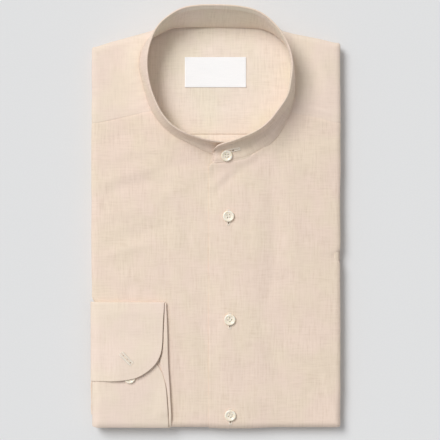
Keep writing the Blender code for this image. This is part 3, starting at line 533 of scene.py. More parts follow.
class Nodes:
    """Short calls for building one material's nodes."""

    def __init__(self, name):
        self.material = bpy.data.materials.new(name)
        self.material.use_nodes = True
        self.tree = self.material.node_tree

    def add(self, kind, links=None, **settings):
        """Node of a kind, its inputs linked or set."""
        node = self.tree.nodes.new("ShaderNode" + kind)
        for key, value in settings.items():
            setattr(node, key, value)
        self.feed(node, links or {})
        return node

    def feed(self, node, links):
        """Links or sets a node's inputs."""
        for key, value in links.items():
            if isinstance(value, bpy.types.NodeSocket):
                self.tree.links.new(value, node.inputs[key])
            else:
                node.inputs[key].default_value = value

    def math(self, operation, first, second=0, third=0):
        """Result of a function of values."""
        return self.add("Math", {0: first, 1: second, 2: third}, operation=operation).outputs[0]

    def noise(self, vector, scale, detail=2, roughness=0.5):
        """Noise over a stretched place."""
        stretched = self.add("VectorMath", {0: vector, 1: (*scale, 1)}, operation="MULTIPLY")
        links = {"Vector": stretched.outputs[0], "Scale": 1, "Detail": detail, "Roughness": roughness}
        return self.add("TexNoise", links, noise_dimensions="2D").outputs["Fac"]

    def shade(self, factor, *stops):
        """Colour read from a row of stops: place and colour."""
        node = self.add("ValToRGB", {"Fac": factor})
        ramp_stops = node.color_ramp.elements
        while len(ramp_stops) < len(stops):
            ramp_stops.new(0.5)
        for stop, (place, colour) in zip(ramp_stops, stops):
            stop.position = place
            stop.color = (*colour, 1)
        return node.outputs["Color"]

    def finish(self, colour, plain, relief=None):
        """Material of a colour, plain values and a bump."""
        shader = self.tree.nodes["Principled BSDF"]
        self.feed(shader, {"Base Color": colour, **plain})
        if relief:
            bump = self.add("Bump", dict(zip(("Height", "Strength", "Distance"), relief)))
            self.feed(shader, {"Normal": bump.outputs["Normal"]})
        return self.material


def scaled(colour, factor, tint=(1, 1, 1)):
    """Colour made lighter or darker, and tinted."""
    return tuple(part * factor * shift for part, shift in zip(colour, tint))


def linen(name, colour, coarse=1):
    """Plain-woven linen: threads over and under, slubs both ways, a matt soft sheen."""
    made = Nodes(name)
    place = made.add("UVMap", uv_map="weave").outputs["UV"]
    slubs = 0.5
    for scale, patches, share in SLUBS:
        uneven = made.math("SUBTRACT", made.noise(place, scale), 0.5)
        strong = made.math("MULTIPLY", made.noise(place, patches), share * coarse)
        slubs = made.math("MULTIPLY_ADD", uneven, strong, slubs)
    cloud = made.noise(place, (38, 30), 3, 0.6)
    tone = made.math("MULTIPLY_ADD", cloud, 0.1, made.math("SUBTRACT", slubs, 0.05))
    dark, light = scaled(colour, 0.915, DARK_TINT), scaled(colour, 1.055, LIGHT_TINT)
    shade = made.shade(tone, (0.3, dark), (0.5, colour), (0.7, light))
    warmth = made.shade(made.noise(place, (30, 24)), (0.36, PINKISH), (0.64, YELLOWISH))
    mixed = made.add("Mix", {0: 1, 6: shade, 7: warmth}, data_type="RGBA", blend_type="MULTIPLY")
    axes = made.add("SeparateXYZ", {0: place})
    over = made.math("SINE", made.math("MULTIPLY", axes.outputs["X"], 2 * math.pi * THREADS))
    under = made.math("SINE", made.math("MULTIPLY", axes.outputs["Y"], 1.9 * math.pi * THREADS))
    height = made.math("MULTIPLY_ADD", made.math("MULTIPLY", over, under), 0.22, slubs)
    plain = {"Roughness": 0.88, "Sheen Weight": 0.12}
    return made.finish(mixed.outputs[2], plain, (height, 0.35, 0.0004))


def label_weave():
    """Blank white woven label: a close, faintly ribbed satin."""
    made = Nodes("label satin")
    place = made.add("UVMap", uv_map="weave").outputs["UV"]
    ribs, speck = made.noise(place, (60, 2400)), made.noise(place, (900, 900))
    tone = made.math("MULTIPLY_ADD", ribs, 0.6, made.math("MULTIPLY", speck, 0.4))
    shade = made.shade(tone, (0.3, (0.93, 0.925, 0.93)), (0.7, (0.985, 0.98, 0.985)))
    return made.finish(shade, {"Roughness": 0.5, "Sheen Weight": 0.1}, (tone, 0.35, 0.0002))


def button_shell():
    """Pale cream shell, cloudy and softly polished."""
    made = Nodes("button shell")
    place = made.add("TexCoord").outputs["Object"]
    noise = made.add("TexNoise", {"Vector": place, "Scale": 260, "Detail": 3, "Distortion": 1.2})
    cloud = noise.outputs["Fac"]
    stops = (0.3, (0.9, 0.78, 0.61)), (0.5, (0.96, 0.87, 0.72)), (0.7, (0.99, 0.94, 0.83))
    plain = {
        "Roughness": 0.3, "Subsurface Weight": 0.12, "Subsurface Radius": (0.002, 0.0016, 0.001),
        "Coat Weight": 0.35, "Coat Roughness": 0.12,
    }
    return made.finish(made.shade(cloud, *stops), plain, (cloud, 0.15, 0.0003))


def thread(name, colour):
    """Sewing thread: two plies twisted, seen as slanting bands. In a dark colour it is the painted shade in
    buttonhole slits.
    """
    made = Nodes(name)
    links = {"Vector": made.add("TexCoord").outputs["Object"], "Scale": 900, "Distortion": 2}
    twist = made.add("TexWave", links, bands_direction="DIAGONAL").outputs["Fac"]
    shade = made.shade(twist, (0, scaled(colour, 0.86)), (1, scaled(colour, 1.05)))
    return made.finish(shade, {"Roughness": 0.6, "Sheen Weight": 0.1}, (twist, 0.3, 0.0001))


def floor_paper():
    """Pale neutral paper with the faintest tooth."""
    made = Nodes("floor paper")
    place = made.add("TexCoord").outputs["Object"]
    tooth = made.add("TexNoise", {"Vector": place, "Scale": 700, "Detail": 2}).outputs["Fac"]
    shade = made.shade(tooth, (0.3, (0.764, 0.77, 0.777)), (0.7, (0.779, 0.785, 0.792)))
    return made.finish(shade, {"Roughness": 0.95})


# Sewing

def resampled(points, normals, pitch):
    """Even places along a line: centre, way along and normal at each."""
    run = run_along(points)
    at = np.arange(0.5 * pitch, run[-1] - 0.3 * pitch, pitch)
    way = unit(read_run(run, points, at + 0.4) - read_run(run, points, at - 0.4))
    facing = read_run(run, normals, at)
    facing -= way * np.sum(facing * way, axis=1, keepdims=True)
    return read_run(run, points, at), way, unit(facing)


def beads(centre, way, facing, length=STITCH_LENGTH, radius=STITCH_RADIUS, rise=0.2):
    """Short rounded threads, one at each centre, lying along way."""
    local = [(-0.5 * length, 0, 0)]
    for along, share in STITCH_PROFILE:
        for side in range(STITCH_SIDES):
            angle, reach = 2 * math.pi * side / STITCH_SIDES, share * radius
            local.append((along * length, reach * math.cos(angle), reach * math.sin(angle)))
    local = np.array(local + [(0.5 * length, 0, 0)])
    local[:, 2] += radius * (rise - (2 * local[:, 0] / length) ** 2)
    axes = np.stack([way, np.cross(facing, way), facing], axis=1)
    vertices = (np.einsum("kj,njc->nkc", local, axes) + centre[:, None, :]).reshape(-1, 3)
    rings = [1 + STITCH_SIDES * k + np.arange(STITCH_SIDES) for k in range(len(STITCH_PROFILE))]
    faces = []
    for start in range(0, len(vertices), len(local)):
        for lower, upper in zip(rings, rings[1:]):
            sides = np.stack([lower, np.roll(lower, -1), np.roll(upper, -1), upper], axis=-1)
            faces += (sides + start).tolist()
        faces += [[start, start + b, start + a] for a, b in zip(rings[0], np.roll(rings[0], -1))]
        end = start + len(local) - 1
        faces += [[end, start + a, start + b] for a, b in zip(rings[-1], np.roll(rings[-1], -1))]
    return vertices, faces


def sew(name, runs, finish):
    """One piece of many short threads."""
    faces, count = [], 0
    for vertices, run_faces in runs:
        faces += [[corner + count for corner in face] for face in run_faces]
        count += len(vertices)
    return link_piece(name, np.concatenate([run[0] for run in runs]), faces, finish)


def on_cloth(place, xs, ys, turns=0):
    """Line on a cloth whose surface is place(x, y, turn, lift), and the cloth's normals."""
    xs, ys, turns = np.broadcast_arrays(xs, ys, turns)
    points = place(xs, ys, turns, 0)
    return points, unit(place(xs, ys, turns, 1) - points)


def seam_run(place, xs, ys, turns=0, pitch=STITCH_PITCH, **size):
    """Stitches along a line of a cloth."""
    return beads(*resampled(*on_cloth(place, xs, ys, turns), pitch), **size)


def buttonhole(line, normals, width, shade_beads, stout):
    """Close stitches round a slit, a bar at each end, and dark beads in the slit as its painted shade."""
    centre, way, facing = resampled(line, normals, 0.7)
    aside = np.cross(facing, way)
    runs = []
    for side, end in ((-1, 0), (1, -1)):
        runs.append(beads(centre + aside * side * 0.33 * width, aside, facing, 0.6 * width, stout, 0.8))
        shifts = np.linspace(-0.42, 0.42, 5)[:, None] * width
        places = centre[end] + way[end] * side * 0.8 + shifts * aside[end]
        runs.append(beads(places, np.tile(way[end], (5, 1)), np.tile(facing[end], (5, 1)), 1.4, stout, 0.8))
    painted_slit_shades = []
    # Dark beads in the slit: painted shade, where the open slit lies in shadow.
    for share, *size in shade_beads:
        at = [round(share * (len(centre) - 1))]
        painted_slit_shades.append(beads(centre[at], way[at], facing[at], *size, 1.4))
    return runs, painted_slit_shades


# Fronts

def front_top(x, left):
    """Top end of a front, and whether it is past the neck there, from 0 to 1."""
    if left:
        return read_table(LEFT_FRONT_TOP, x), ramp(*LEFT_NECK_SIDE, x)
    return read_table(RIGHT_FRONT_TOP, x), ramp(*RIGHT_NECK_SIDE, x)


def front_offset(x, y, u, v, left):
    """How far a front is moved out from the pack, at unrolled places u and v."""
    top, beyond_neck = front_top(x, left)
    sunk = (CLOTH + 0.15) * ramp(top - 1.6, top + 1.2, y)
    height = neck_rise(x, y) + beyond_neck * (puckers(y - top, x, 0.1, 5, 53) - sunk)
    if not left:
        return height + crumple(u, v, 31) + creases(CREASES_RIGHT, u, v)
    pinch_u, pinch_v, wide, long, depth = PINCH
    return (
        height + crumple(u, v, 11) + creases(CREASES_LEFT, u, v) + placket_lift(x)
        + FOOT_RISE * ramp(58, 34, x) * np.exp(-((y - top) / FOOT_REACH) ** 2)
        + seam_groove(u - PLACKET_SEAM, 0.16, 0.9) + puckers(u - PLACKET_SEAM, v, 0.14, 4, 51)
        + puckers(u - PLACKET_EDGE, v, 0.16, 5, 52)
        + depth * np.exp(-((u - pinch_u) / wide) ** 2 - ((v - pinch_v) / long) ** 2)
    )


def left_front_face(x, y, turn=0, lift=0):
    """Surface of the left front, and on round the bottom fold."""
    height = front_offset(x, y, x, y - turn * TURN_ARC, True)
    return pack_point(tucked(x, y), y, turn, 0, -1, height + lift)


def make_front(left, finish):
    """One front, turned over the pack's side and bottom fold."""
    if left:
        x, beside = carried_on(spaced(PLACKET_EDGE, FIELD_RIGHT), TURNS)
    else:
        x, beside = carried_on(spaced(RIGHT_FRONT_EDGE, FIELD_LEFT), -TURNS, -1)
    share, below = (column[:, None] for column in carried_on(np.linspace(1, 0, FRONT_ROWS), -TURNS, -1))
    top, beyond_neck = front_top(x, left)
    y = lerp(FIELD_BOTTOM, top + UNDER_YOKE * beyond_neck, share)
    turn = np.maximum(abs(beside), abs(below))
    ways = corner_ways(beside, below)
    flat = flat_point(x, y, turn, *ways)
    offset = front_offset(x, y, flat[..., 0], flat[..., 1], left)
    shape = pack_point(tucked(x, y), y, turn, *ways, offset), flat
    if not left:
        return make_piece("front_right", shell(*shape, CLOTH), finish)
    thick = CLOTH + PLACKET_PLY * ramp(PLACKET_SEAM + 1, PLACKET_SEAM - 1, x)
    thick = thick - EDGE_THIN * ramp(PLACKET_EDGE + 3, PLACKET_EDGE, x)
    return make_piece("front_left", shell(*shape, thick), finish, ("folded_layers", "front_right"))


def placket_seam():
    """Topstitching of the placket."""
    y, turns = carried_on(spaced(FIELD_BOTTOM, 52, 2)[::-1], np.linspace(0.1, 2, FOLD_STITCHES))
    return [seam_run(left_front_face, PLACKET_SEAM, y, turns)]


# Yoke

def yoke_offset(x, y, u, v, turn):
    """How far the yoke is moved out from the pack."""
    seam = np.where(x < 0, read_table(RIGHT_FRONT_TOP, x), read_table(LEFT_FRONT_TOP, x))
    offset = neck_rise(x, y) * ramp(1.2, 0, turn) + crumple(u, v, 71) + creases(CREASES_YOKE, u, v)
    return offset + puckers(y - seam, x, 0.12, 5, 53) + seam_groove(y - seam - 3, 0.08, 0.9)


def yoke_face(x, y, turn=0, lift=0):
    """Surface of the yoke, and on round the pack's sides."""
    side = np.sign(x)
    u = x + side * turn * TURN_ARC
    return pack_point(x, y, turn, side, 0, yoke_offset(x, y, u, y, turn) + lift)


def make_yoke(finish):
    """Outer yoke: a horseshoe round the neck, turned over the edges."""
    stations = np.array(YOKE_STATIONS, float)
    steps = np.diff(stations, axis=0)
    reach = np.hypot(steps[:, 2], steps[:, 3]) + NOSE_REACH * np.radians(abs(steps[:, 4]))
    run = running(np.maximum(reach, 0.1))
    foot_x, foot_y, edge_x, edge_y, heading = read_run(run, stations, spaced(0, run[-1], YOKE_GRID)).T
    across, turn = (column[:, None] for column in carried_on(np.linspace(0, 1, YOKE_COLUMNS), TURNS))
    x, y = lerp(foot_x, edge_x, across), lerp(foot_y, edge_y, across)
    out_x, out_y = np.cos(np.radians(heading)), np.sin(np.radians(heading))
    square_x, square_y = corner_ways(out_x, out_y)
    corner = ramp(0, 10, heading) * ramp(74, 64, heading)
    corner = corner + ramp(180, 170, heading) * ramp(108, 118, heading)
    corner = corner * (abs(x) > CORNER_X)
    out_x, out_y = lerp(out_x, square_x, corner), lerp(out_y, square_y, corner)
    flat = flat_point(x, y, turn, out_x, out_y)
    offset = yoke_offset(x, y, flat[..., 0], flat[..., 1], turn)
    points = pack_point(x, y, turn, out_x, out_y, offset)
    return make_piece("yoke", shell(points, flat, CLOTH), finish)


def yoke_seams():
    """Topstitching above the yoke's front seams."""
    runs = []
    for start, end, seam in ((-61, FIELD_LEFT, RIGHT_FRONT_TOP), (71, FIELD_RIGHT, LEFT_FRONT_TOP)):
        x, turns = carried_on(np.linspace(start, end, 30), np.linspace(0.1, 1.8, FOLD_STITCHES))
        runs.append(seam_run(yoke_face, x, read_table(seam, x) + 2.2, turns))
    return runs


# Inside the neck

def inside_face(x, y, turn=0, lift=0):
    """Surface of the inner yoke and the back, one layer down. It has no turn."""
    seam, label = y - INNER_SEAM_Y, 1
    for way, spans in ((x, LABEL_ACROSS), (y, LABEL_ALONG)):
        label = label * ramp(*spans[0], way) * ramp(*spans[1], way)
    height = (0.7 * crumple(x, y, 91) + creases(CREASES_INSIDE, x, y)) * (1 - 0.85 * label)
    height = height + seam_groove(seam - 2.2, 0.1, 0.8) + puckers(seam, x, 0.12, 5, 54)
    return pack_point(x, y, offset=height - 0.8 * ramp(-5, 0, seam) * ramp(0.2, 0, seam) - STEP + lift)


def make_inside(finish):
    """Inner yoke, and the strip of the back below its seam."""
    x = spaced(-INNER_HALF_WIDTH, INNER_HALF_WIDTH)
    share = np.linspace(0, 1, INNER_ROWS)[:, None]
    y = INNER_SEAM_Y + GAP + (read_table(TOP_EDGE, x) - 1.2 - INNER_SEAM_Y) * share
    inner = shell(inside_face(x, y), flat_point(x, y), CLOTH)
    x, y = spaced(-BACK_HALF_WIDTH, BACK_HALF_WIDTH), spaced(BACK_BOTTOM, INNER_SEAM_Y)[:, None]
    back = shell(inside_face(x, y), flat_point(x, y), CLOTH)
    return make_piece("yoke_inner", inner, finish), make_piece("back", back, finish)


def inside_seam():
    """Topstitching above the seam of the inner yoke."""
    x = spaced(-INNER_HALF_WIDTH + 3, INNER_HALF_WIDTH - 3, 2)
    return [seam_run(inside_face, x, INNER_SEAM_Y + 2.2)]


def label_face(x, y, turn=0, lift=0):
    """Surface of the label, its corners a little off the yoke. It has no turn."""
    half_width, half_height = 0.5 * (LABEL_RIGHT - LABEL_LEFT), 0.5 * (LABEL_TOP - LABEL_BOTTOM)
    corner = (abs(x) / half_width) ** 6 * (abs(y - LABEL_CENTRE[1]) / half_height) ** 6
    lift = lift + LABEL_CLOTH + 0.27 + 0.4 * np.clip(corner, 0, 1) + 0.1 * wander(x, y, 16, 12, 97)
    return inside_face(x, y, lift=lift)


def make_label(finish):
    """Blank woven label."""
    x, y = spaced(LABEL_LEFT, LABEL_RIGHT, 1.2), spaced(LABEL_BOTTOM, LABEL_TOP, 1.2)[:, None]
    shape = shell(label_face(x, y), flat_point(x, y), LABEL_CLOTH)
    return make_piece("label", shape, finish, ("yoke_inner",), "laid")


def label_seams():
    """Small stitches at the label's short ends."""
    ys = spaced(LABEL_BOTTOM + 0.8, LABEL_TOP - 0.8, 1)
    ends = (LABEL_LEFT + 1.1, LABEL_RIGHT - 1.1)
    return [seam_run(label_face, x, ys, pitch=1.9, length=1.4, radius=0.13) for x in ends]


# Collar band

def overlap_end(columns):
    """How far each column is into the pressed overlap end."""
    return ramp(END_COLUMNS, 0, columns - 1 - np.arange(columns))


def band_surface():
    """Middle of the band's cloth, its flat places and normals."""
    foot_x, foot_y, rim_x, rim_y, rim_z, sag, lap, press = smooth_rows(BAND_STATIONS, BAND_STEPS).T
    rise = pack_top(foot_x, foot_y) + GAP + BAND_LAP * np.clip(lap, 0, 1) + neck_rise(foot_x, foot_y)
    lean = unit(stacked(rim_x - foot_x, rim_y - foot_y, rim_z - rise))
    flat = np.sqrt(np.clip(1 - lean[:, 2] ** 2, 0, 1))
    foot = stacked(foot_x, foot_y, rise + BAND_CLOTH * (0.1 + 0.6 * flat))
    rim = stacked(rim_x, rim_y, rim_z)
    outward = unit(np.cross(rim - foot, np.gradient(foot, axis=0)))
    control = 0.5 * (foot + rim) - outward * sag[:, None]
    up = np.linspace(0, 1, BAND_ROWS + 1)[:, None]
    share = up[..., None]
    points = foot * (1 - share) ** 2 + 2 * control * share * (1 - share) + rim * share ** 2
    press = np.clip(press, 0, 1)
    low = foot[:, 2] + (rim_z - foot[:, 2]) * up ** PRESS_POWER
    points[..., 2] += (low - points[..., 2]) * press - FOOT_SINK * press * ramp(0.16, 0, up)
    points[..., 2] -= END_SINK * overlap_end(points.shape[1])
    height = np.linalg.norm(rim - foot, axis=1)
    u, v = np.broadcast_arrays(run_along(points[BAND_ROWS // 2]), up * height)
    facing = -grid_normals(points)
    below = height - v
    relief = (
        0.1 * wander(u, v, 26, 40, 61) + 0.05 * wander(u, v, 9, 16, 62) + creases(CREASES_BAND, u, v)
        + seam_groove(below - BAND_INSET, 0.9, 1.1) + seam_groove(v - FOOT_INSET, 0.1, 0.9)
        + puckers(below - 2, u, 0.07, 4, 63) + puckers(v - 1, u, 0.12, 4, 64)
    )
    return points + facing * relief[..., None], stacked(u, v), facing


def make_band(points, flats, finish, inner_painted_light_finish):
    """Collar band, its ends lapped at the front."""
    thin = FOOT_CLOTH + (1 - FOOT_CLOTH) * ramp(0, 4, np.arange(BAND_ROWS + 1))[:, None]
    thin = thin * (1 - (1 - END_CLOTH) * overlap_end(points.shape[1]))
    shape = shell(points[:, ::-1], flats[:, ::-1], BAND_CLOTH * thin[:, ::-1], centred=True)
    piece, cut = make_piece("collar_band", shape, finish, ("front_left", "front_right", "yoke"))
    # The band's inner ply takes the inside linen, painted lighter as painted light.
    piece.data.materials.append(inner_painted_light_finish)
    side = (points.shape[0] - 1) * (points.shape[1] - 1)
    plies = np.zeros(len(piece.data.polygons), dtype=np.int32)
    plies[side:2 * side] = 1
    piece.data.polygons.foreach_set("material_index", plies)
    return piece, cut


def band_seams(points, flats, facing):
    """Stitches below the rim, above the neck seam and down the overlap's end."""
    runs = []
    height = flats[-1, :, 1]
    column = np.arange(len(height))
    for side in (-1, 1):
        for drop in (height - BAND_INSET, FOOT_INSET):
            row = np.clip(drop / height * BAND_ROWS, 0, BAND_ROWS - 1e-6)
            low = row.astype(int)
            share = (row - low)[:, None]
            line = points[low, column] * (1 - share) + points[low + 1, column] * share
            normal = unit(facing[low, column]) * side
            line = line + normal * 0.5 * BAND_CLOTH
            runs.append(beads(*resampled(line[4:-4], normal[4:-4], STITCH_PITCH)))
    end, normal = points[2:-3, -5], facing[2:-3, -5]
    runs.append(beads(*resampled(end + normal * 0.5 * BAND_CLOTH, normal, STITCH_PITCH)))
    return runs


# Cuff and sleeve

def cuff_point(x, turn, y, layer, rise, relief):
    """Points of the cuff, and on round the pack's left and bottom edges."""
    offset = layer + relief + rise * ramp(0, FLAP_RISE_SPAN, x - tucked(FIELD_LEFT, y))
    down = np.clip((FIELD_BOTTOM - y) / NOSE_REACH, 0, None)
    ways = corner_ways(-turn, -down)
    return pack_point(x, np.maximum(y, FIELD_BOTTOM), np.maximum(turn, down), *ways, offset)


def flap_rise(y):
    """Rise of the flap's end over the layers and button."""
    return 1.8 * ramp(-112, -142, y) + 0.8 * ramp(-83, -94, y)


def edge_rows(table):
    """Even rows on the smooth curve of a cuff table."""
    rows = smooth_rows(table, EDGE_STEPS)
    run = run_along(rows)
    return read_run(run, rows, spaced(0, run[-1], 1.5))


def cuff_relief(x, y, layer):
    """Unevenness of the cuff; its back half curls at its open end."""
    amount = np.where(layer > 1, 1, 0.15)
    loose = abs(layer - CUFF_LAYERS[1]) < 0.1
    lift = loose * UNDERLAP_LIFT * ramp(-150, -172, y) * ramp(-194, -184, y) * ramp(-60, -47, x)
    edge = read_table(CHANNEL, -y)
    open_end = ramp(edge, edge + CURL_SPAN, x) * ramp(-197, -190, y)
    lift = lift + (layer < CUFF_LAYERS[0] + 0.1) * BACK_LIFT * open_end
    return amount * (0.4 * crumple(x, y, 81) + creases(CREASES_CUFF, x, y)) + lift


def make_cuff(finish):
    """Cuff: underlap, bottom fold, back half, top fold, flap."""
    rows = [(*place, CUFF_LAYERS[1], 0) for place in edge_rows(CUFF_UNDERLAP)]
    back = [(*place, CUFF_LAYERS[0], 0) for place in edge_rows(CUFF_BACK)]
    flap = [(y, right, CUFF_LAYERS[2], flap_rise(y)) for y, right in edge_rows(CUFF_FLAP)]
    for after, fold_y, sense in ((back, CUFF_BOTTOM_FOLD, -1), (flap, CUFF_TOP_FOLD, 1)):
        first, second = rows[-1], after[0]
        centre, radius = 0.5 * (first[2] + second[2]), 0.5 * abs(second[2] - first[2])
        for angle in np.radians(spaced(0, 180, 22.5)):
            right = lerp(first[1], second[1], angle / math.pi)
            layer = centre + (first[2] - centre) * math.cos(angle)
            rows.append((fold_y + sense * radius * math.sin(angle), right, layer, 0))
        rows += after
    y, right, layer, rise = (column[:, None] for column in np.array(rows).T)
    across, turn = carried_on(np.linspace(0, 1, CUFF_COLUMNS) ** 1.5, TURNS[:9])
    x = lerp(right, tucked(FIELD_LEFT, y), across)
    flat_x = x - turn * TURN_ARC
    flat = stacked(flat_x, run_along(np.hstack([y, layer]))[:, None])
    points = cuff_point(x, turn, y, layer, rise, cuff_relief(flat_x, y, layer))
    shape = shell(points, flat, CUFF_CLOTH, centred=True)
    return make_piece("cuff", shape, finish, ("front_right", "folded_layers"))


def cuff_face(number):
    """Outer surface of one of the cuff's layers."""
    def place(x, y, turn=0, lift=0):
        layer = CUFF_LAYERS[number]
        rise = flap_rise(y) if number == 2 else 0
        outer = layer + 0.5 * CUFF_CLOTH + lift
        return cuff_point(x, turn, y, outer, rise, cuff_relief(x, y, layer))
    return place


def inset_path(table):
    """Line inside the edge of a cuff layer, as x and y."""
    rows = smooth_rows(table, EDGE_STEPS)[:, ::-1]
    way = unit(np.gradient(rows, axis=0))
    return rows + CUFF_INSET * stacked(way[:, 1], -way[:, 0])


def cuff_seams():
    """Topstitching of the flap and the underlap."""
    flap, under = inset_path(CUFF_FLAP), inset_path(CUFF_UNDERLAP)[:-6]
    tail = spaced(flap[-1, 0], FIELD_LEFT + 4, 2)[1:]
    flap = np.vstack([flap, stacked(tail, flap[-1, 1])])
    return [seam_run(cuff_face(2), *flap.T), seam_run(cuff_face(1), *under.T)]


def make_sleeve(finish):
    """Sleeve end, two plies round the pack's left edge."""
    parts = []
    for ply, (inset, reach) in enumerate(((0, 0), (1.5, 2))):
        y = spaced(SLEEVE_BOTTOM + reach, SLEEVE_TOP - inset)[:, None]
        turn = np.radians(spaced(SLEEVE_LAST_TURN - 3 * ply, SLEEVE_FIRST_TURN + 2 * ply, 2.4))
        flat = stacked(8 * ply - turn * TURN_ARC * 1.6, y)
        fold = 0.25 * wander(y, turn * 10, 7, 9, 85 + ply) + 0.15 * wander(y, turn * 10, 2.6, 5, 88)
        points = pack_point(tucked(FIELD_LEFT, y), y, turn, -1, 0, GAP + 1.65 + 1.9 * ply + fold)
        parts.append(shell(points, flat, SLEEVE_CLOTH))
    return make_piece("sleeve", joined(parts), finish, ("folded_layers", "front_right"))


# Hidden layers

def layer_path():
    """Stations round the field, in order: x, y, way out in degrees."""
    heights = spaced(FIELD_BOTTOM, TOP_EDGE[0][1], 2)
    path = [(FIELD_LEFT, y, 180) for y in heights]
    path += [(FIELD_LEFT, heights[-1], 180 - turn) for turn in spaced(0, 72, 12)[1:]]
    for x in spaced(FIELD_LEFT, FIELD_RIGHT, 2)[1:-1]:
        slope = read_table(TOP_EDGE, x + 5) - read_table(TOP_EDGE, x - 5)
        path.append((x, read_table(TOP_EDGE, x), 90 + math.degrees(math.atan2(slope, 10))))
    heights = spaced(TOP_EDGE[-1][1], FIELD_BOTTOM, 2)
    path += [(FIELD_RIGHT, heights[0], 76 - turn) for turn in spaced(0, 76, 12)]
    path += [(FIELD_RIGHT, y, 0) for y in heights[1:]]
    path += [(FIELD_RIGHT, FIELD_BOTTOM, -turn) for turn in spaced(0, 90, 12)[1:]]
    path += [(x, FIELD_BOTTOM, -90) for x in spaced(FIELD_RIGHT, FIELD_LEFT, 2)[1:]]
    path += [(FIELD_LEFT, FIELD_BOTTOM, -90 - turn) for turn in spaced(0, 90, 12)[1:-1]]
    return np.array(path)


def make_layers(finish):
    """The layers folded away, with uneven lips of cloth at the edges."""
    path_x, y, heading = layer_path().T
    x, heading = tucked(path_x, y), np.radians(heading)
    out_x, out_y = np.cos(heading), np.sin(heading)
    out_x, out_y = np.where(y <= FIELD_BOTTOM, corner_ways(out_x, out_y), (out_x, out_y))
    run = running(np.hypot(np.diff(x), np.diff(y)) + NOSE_REACH * abs(np.diff(heading)))
    drop = ramp(DROP_START, DROP_END, y)
    middle_x, middle_y = LAYER_MIDDLE
    lines = []
    for share in TOP_SHARES:
        lines.append(pack_point(lerp(middle_x, x, share), lerp(middle_y, y, share), offset=-3.2 * STEP))
    for turn in np.radians(spaced(0, LAST_TURN, 15)):
        lines.append(pack_point(x, y, turn, out_x, out_y, -STEP))
    for number, (side_out, side_z, end_out, end_z) in enumerate(smooth_rows(LAYER_PROFILE, 3)):
        out, z = lerp(side_out, end_out, drop), lerp(side_z, end_z, drop)
        lip = min(3, number // 9)
        loose = ramp(3, 9, number) * ramp(0, 1.2, z) * (1 - 0.7 * drop)
        waves = 0.9 * wander(run, 7 * lip, 46, 3, 101 + lip) + 0.25 * wander(run, 3 * lip, 11, 3, 105 + lip)
        out = out + loose * (waves - 0.35)
        waves = 0.3 * wander(run, 5 * lip, 30, 3, 111 + lip) + 0.1 * wander(run, lip, 8, 3, 115)
        z = z + loose * waves
        lines.append(stacked(x + out_x * out, y + out_y * out, np.maximum(z, 0)))
    foot_x, foot_y = x + out_x * LAYER_FOOT, y + out_y * LAYER_FOOT
    for share in FOOT_SHARES:
        lines.append(stacked(lerp(middle_x, foot_x, share), lerp(middle_y, foot_y, share), 0))
    grid = np.array(lines)
    index = np.arange(grid[..., 0].size).reshape(grid.shape[:2])
    flat = stacked(run, run_along(grid[:, 100])[:, None]).reshape(-1, 2)
    ring = np.concatenate([index, index[:, :1]], axis=1)
    shape = (grid.reshape(-1, 3), quads(ring)[:, ::-1], flat)
    caps = [index[0].tolist()[::-1], index[-1].tolist()]
    piece, cut = make_piece("folded_layers", shape, finish, (), caps=caps)
    top = max(edge_y for _, edge_y in TOP_EDGE)
    size = (FIELD_RIGHT - FIELD_LEFT + 2 * NOSE_REACH, top - FIELD_BOTTOM + 2 * NOSE_REACH)
    cut["flat"], cut["area"] = (size[0] * MM, size[1] * MM), None
    return piece, cut


# Buttons

def pack_facing(x, y):
    """Way that the pack's face looks under a button."""
    reach = BUTTON_RADIUS
    slope_x = (pack_top(x + reach, y) - pack_top(x - reach, y)) / (2 * reach)
    slope_y = (pack_top(x, y + reach) - pack_top(x, y - reach)) / (2 * reach)
    return unit(np.array([-slope_x, -slope_y, 1]))


def button_mesh(name):
    """Turned button, its four thread holes cut through."""
    body, pins = bmesh.new(), bmesh.new()
    ring = []
    for share, rise in BUTTON_SECTION:
        ring.append(body.verts.new((share * BUTTON_RADIUS * MM, 0, rise * BUTTON_HEIGHT * MM)))
    line = ring + [body.edges.new(pair) for pair in zip(ring, ring[1:])]
    bmesh.ops.spin(body, geom=line, axis=(0, 0, 1), cent=(0, 0, 0), steps=48, angle=2 * math.pi)
    bmesh.ops.remove_doubles(body, verts=body.verts[:], dist=0.01 * MM)
    bmesh.ops.recalc_face_normals(body, faces=body.faces[:])
    size = {"radius1": HOLE_RADIUS * MM, "radius2": HOLE_RADIUS * MM, "depth": 8 * MM}
    for hole in BUTTON_HOLES:
        pin = bmesh.ops.create_cone(pins, cap_ends=True, segments=16, **size)
        bmesh.ops.translate(pins, verts=pin["verts"], vec=Vector(hole) * MM)
    items = []
    for part, label in ((body, name), (pins, name + "_pins")):
        data = bpy.data.meshes.new(label)
        part.to_mesh(data)
        part.free()
        items.append(placed(label, data))
    cut = items[0].modifiers.new("holes", "BOOLEAN")
    cut.object, cut.operation, cut.solver = items[1], "DIFFERENCE", "EXACT"
    bpy.context.view_layer.update()
    done = bpy.data.meshes.new_from_object(items[0].evaluated_get(bpy.context.evaluated_depsgraph_get()))
    for item in items:
        bpy.data.objects.remove(item)
    return done


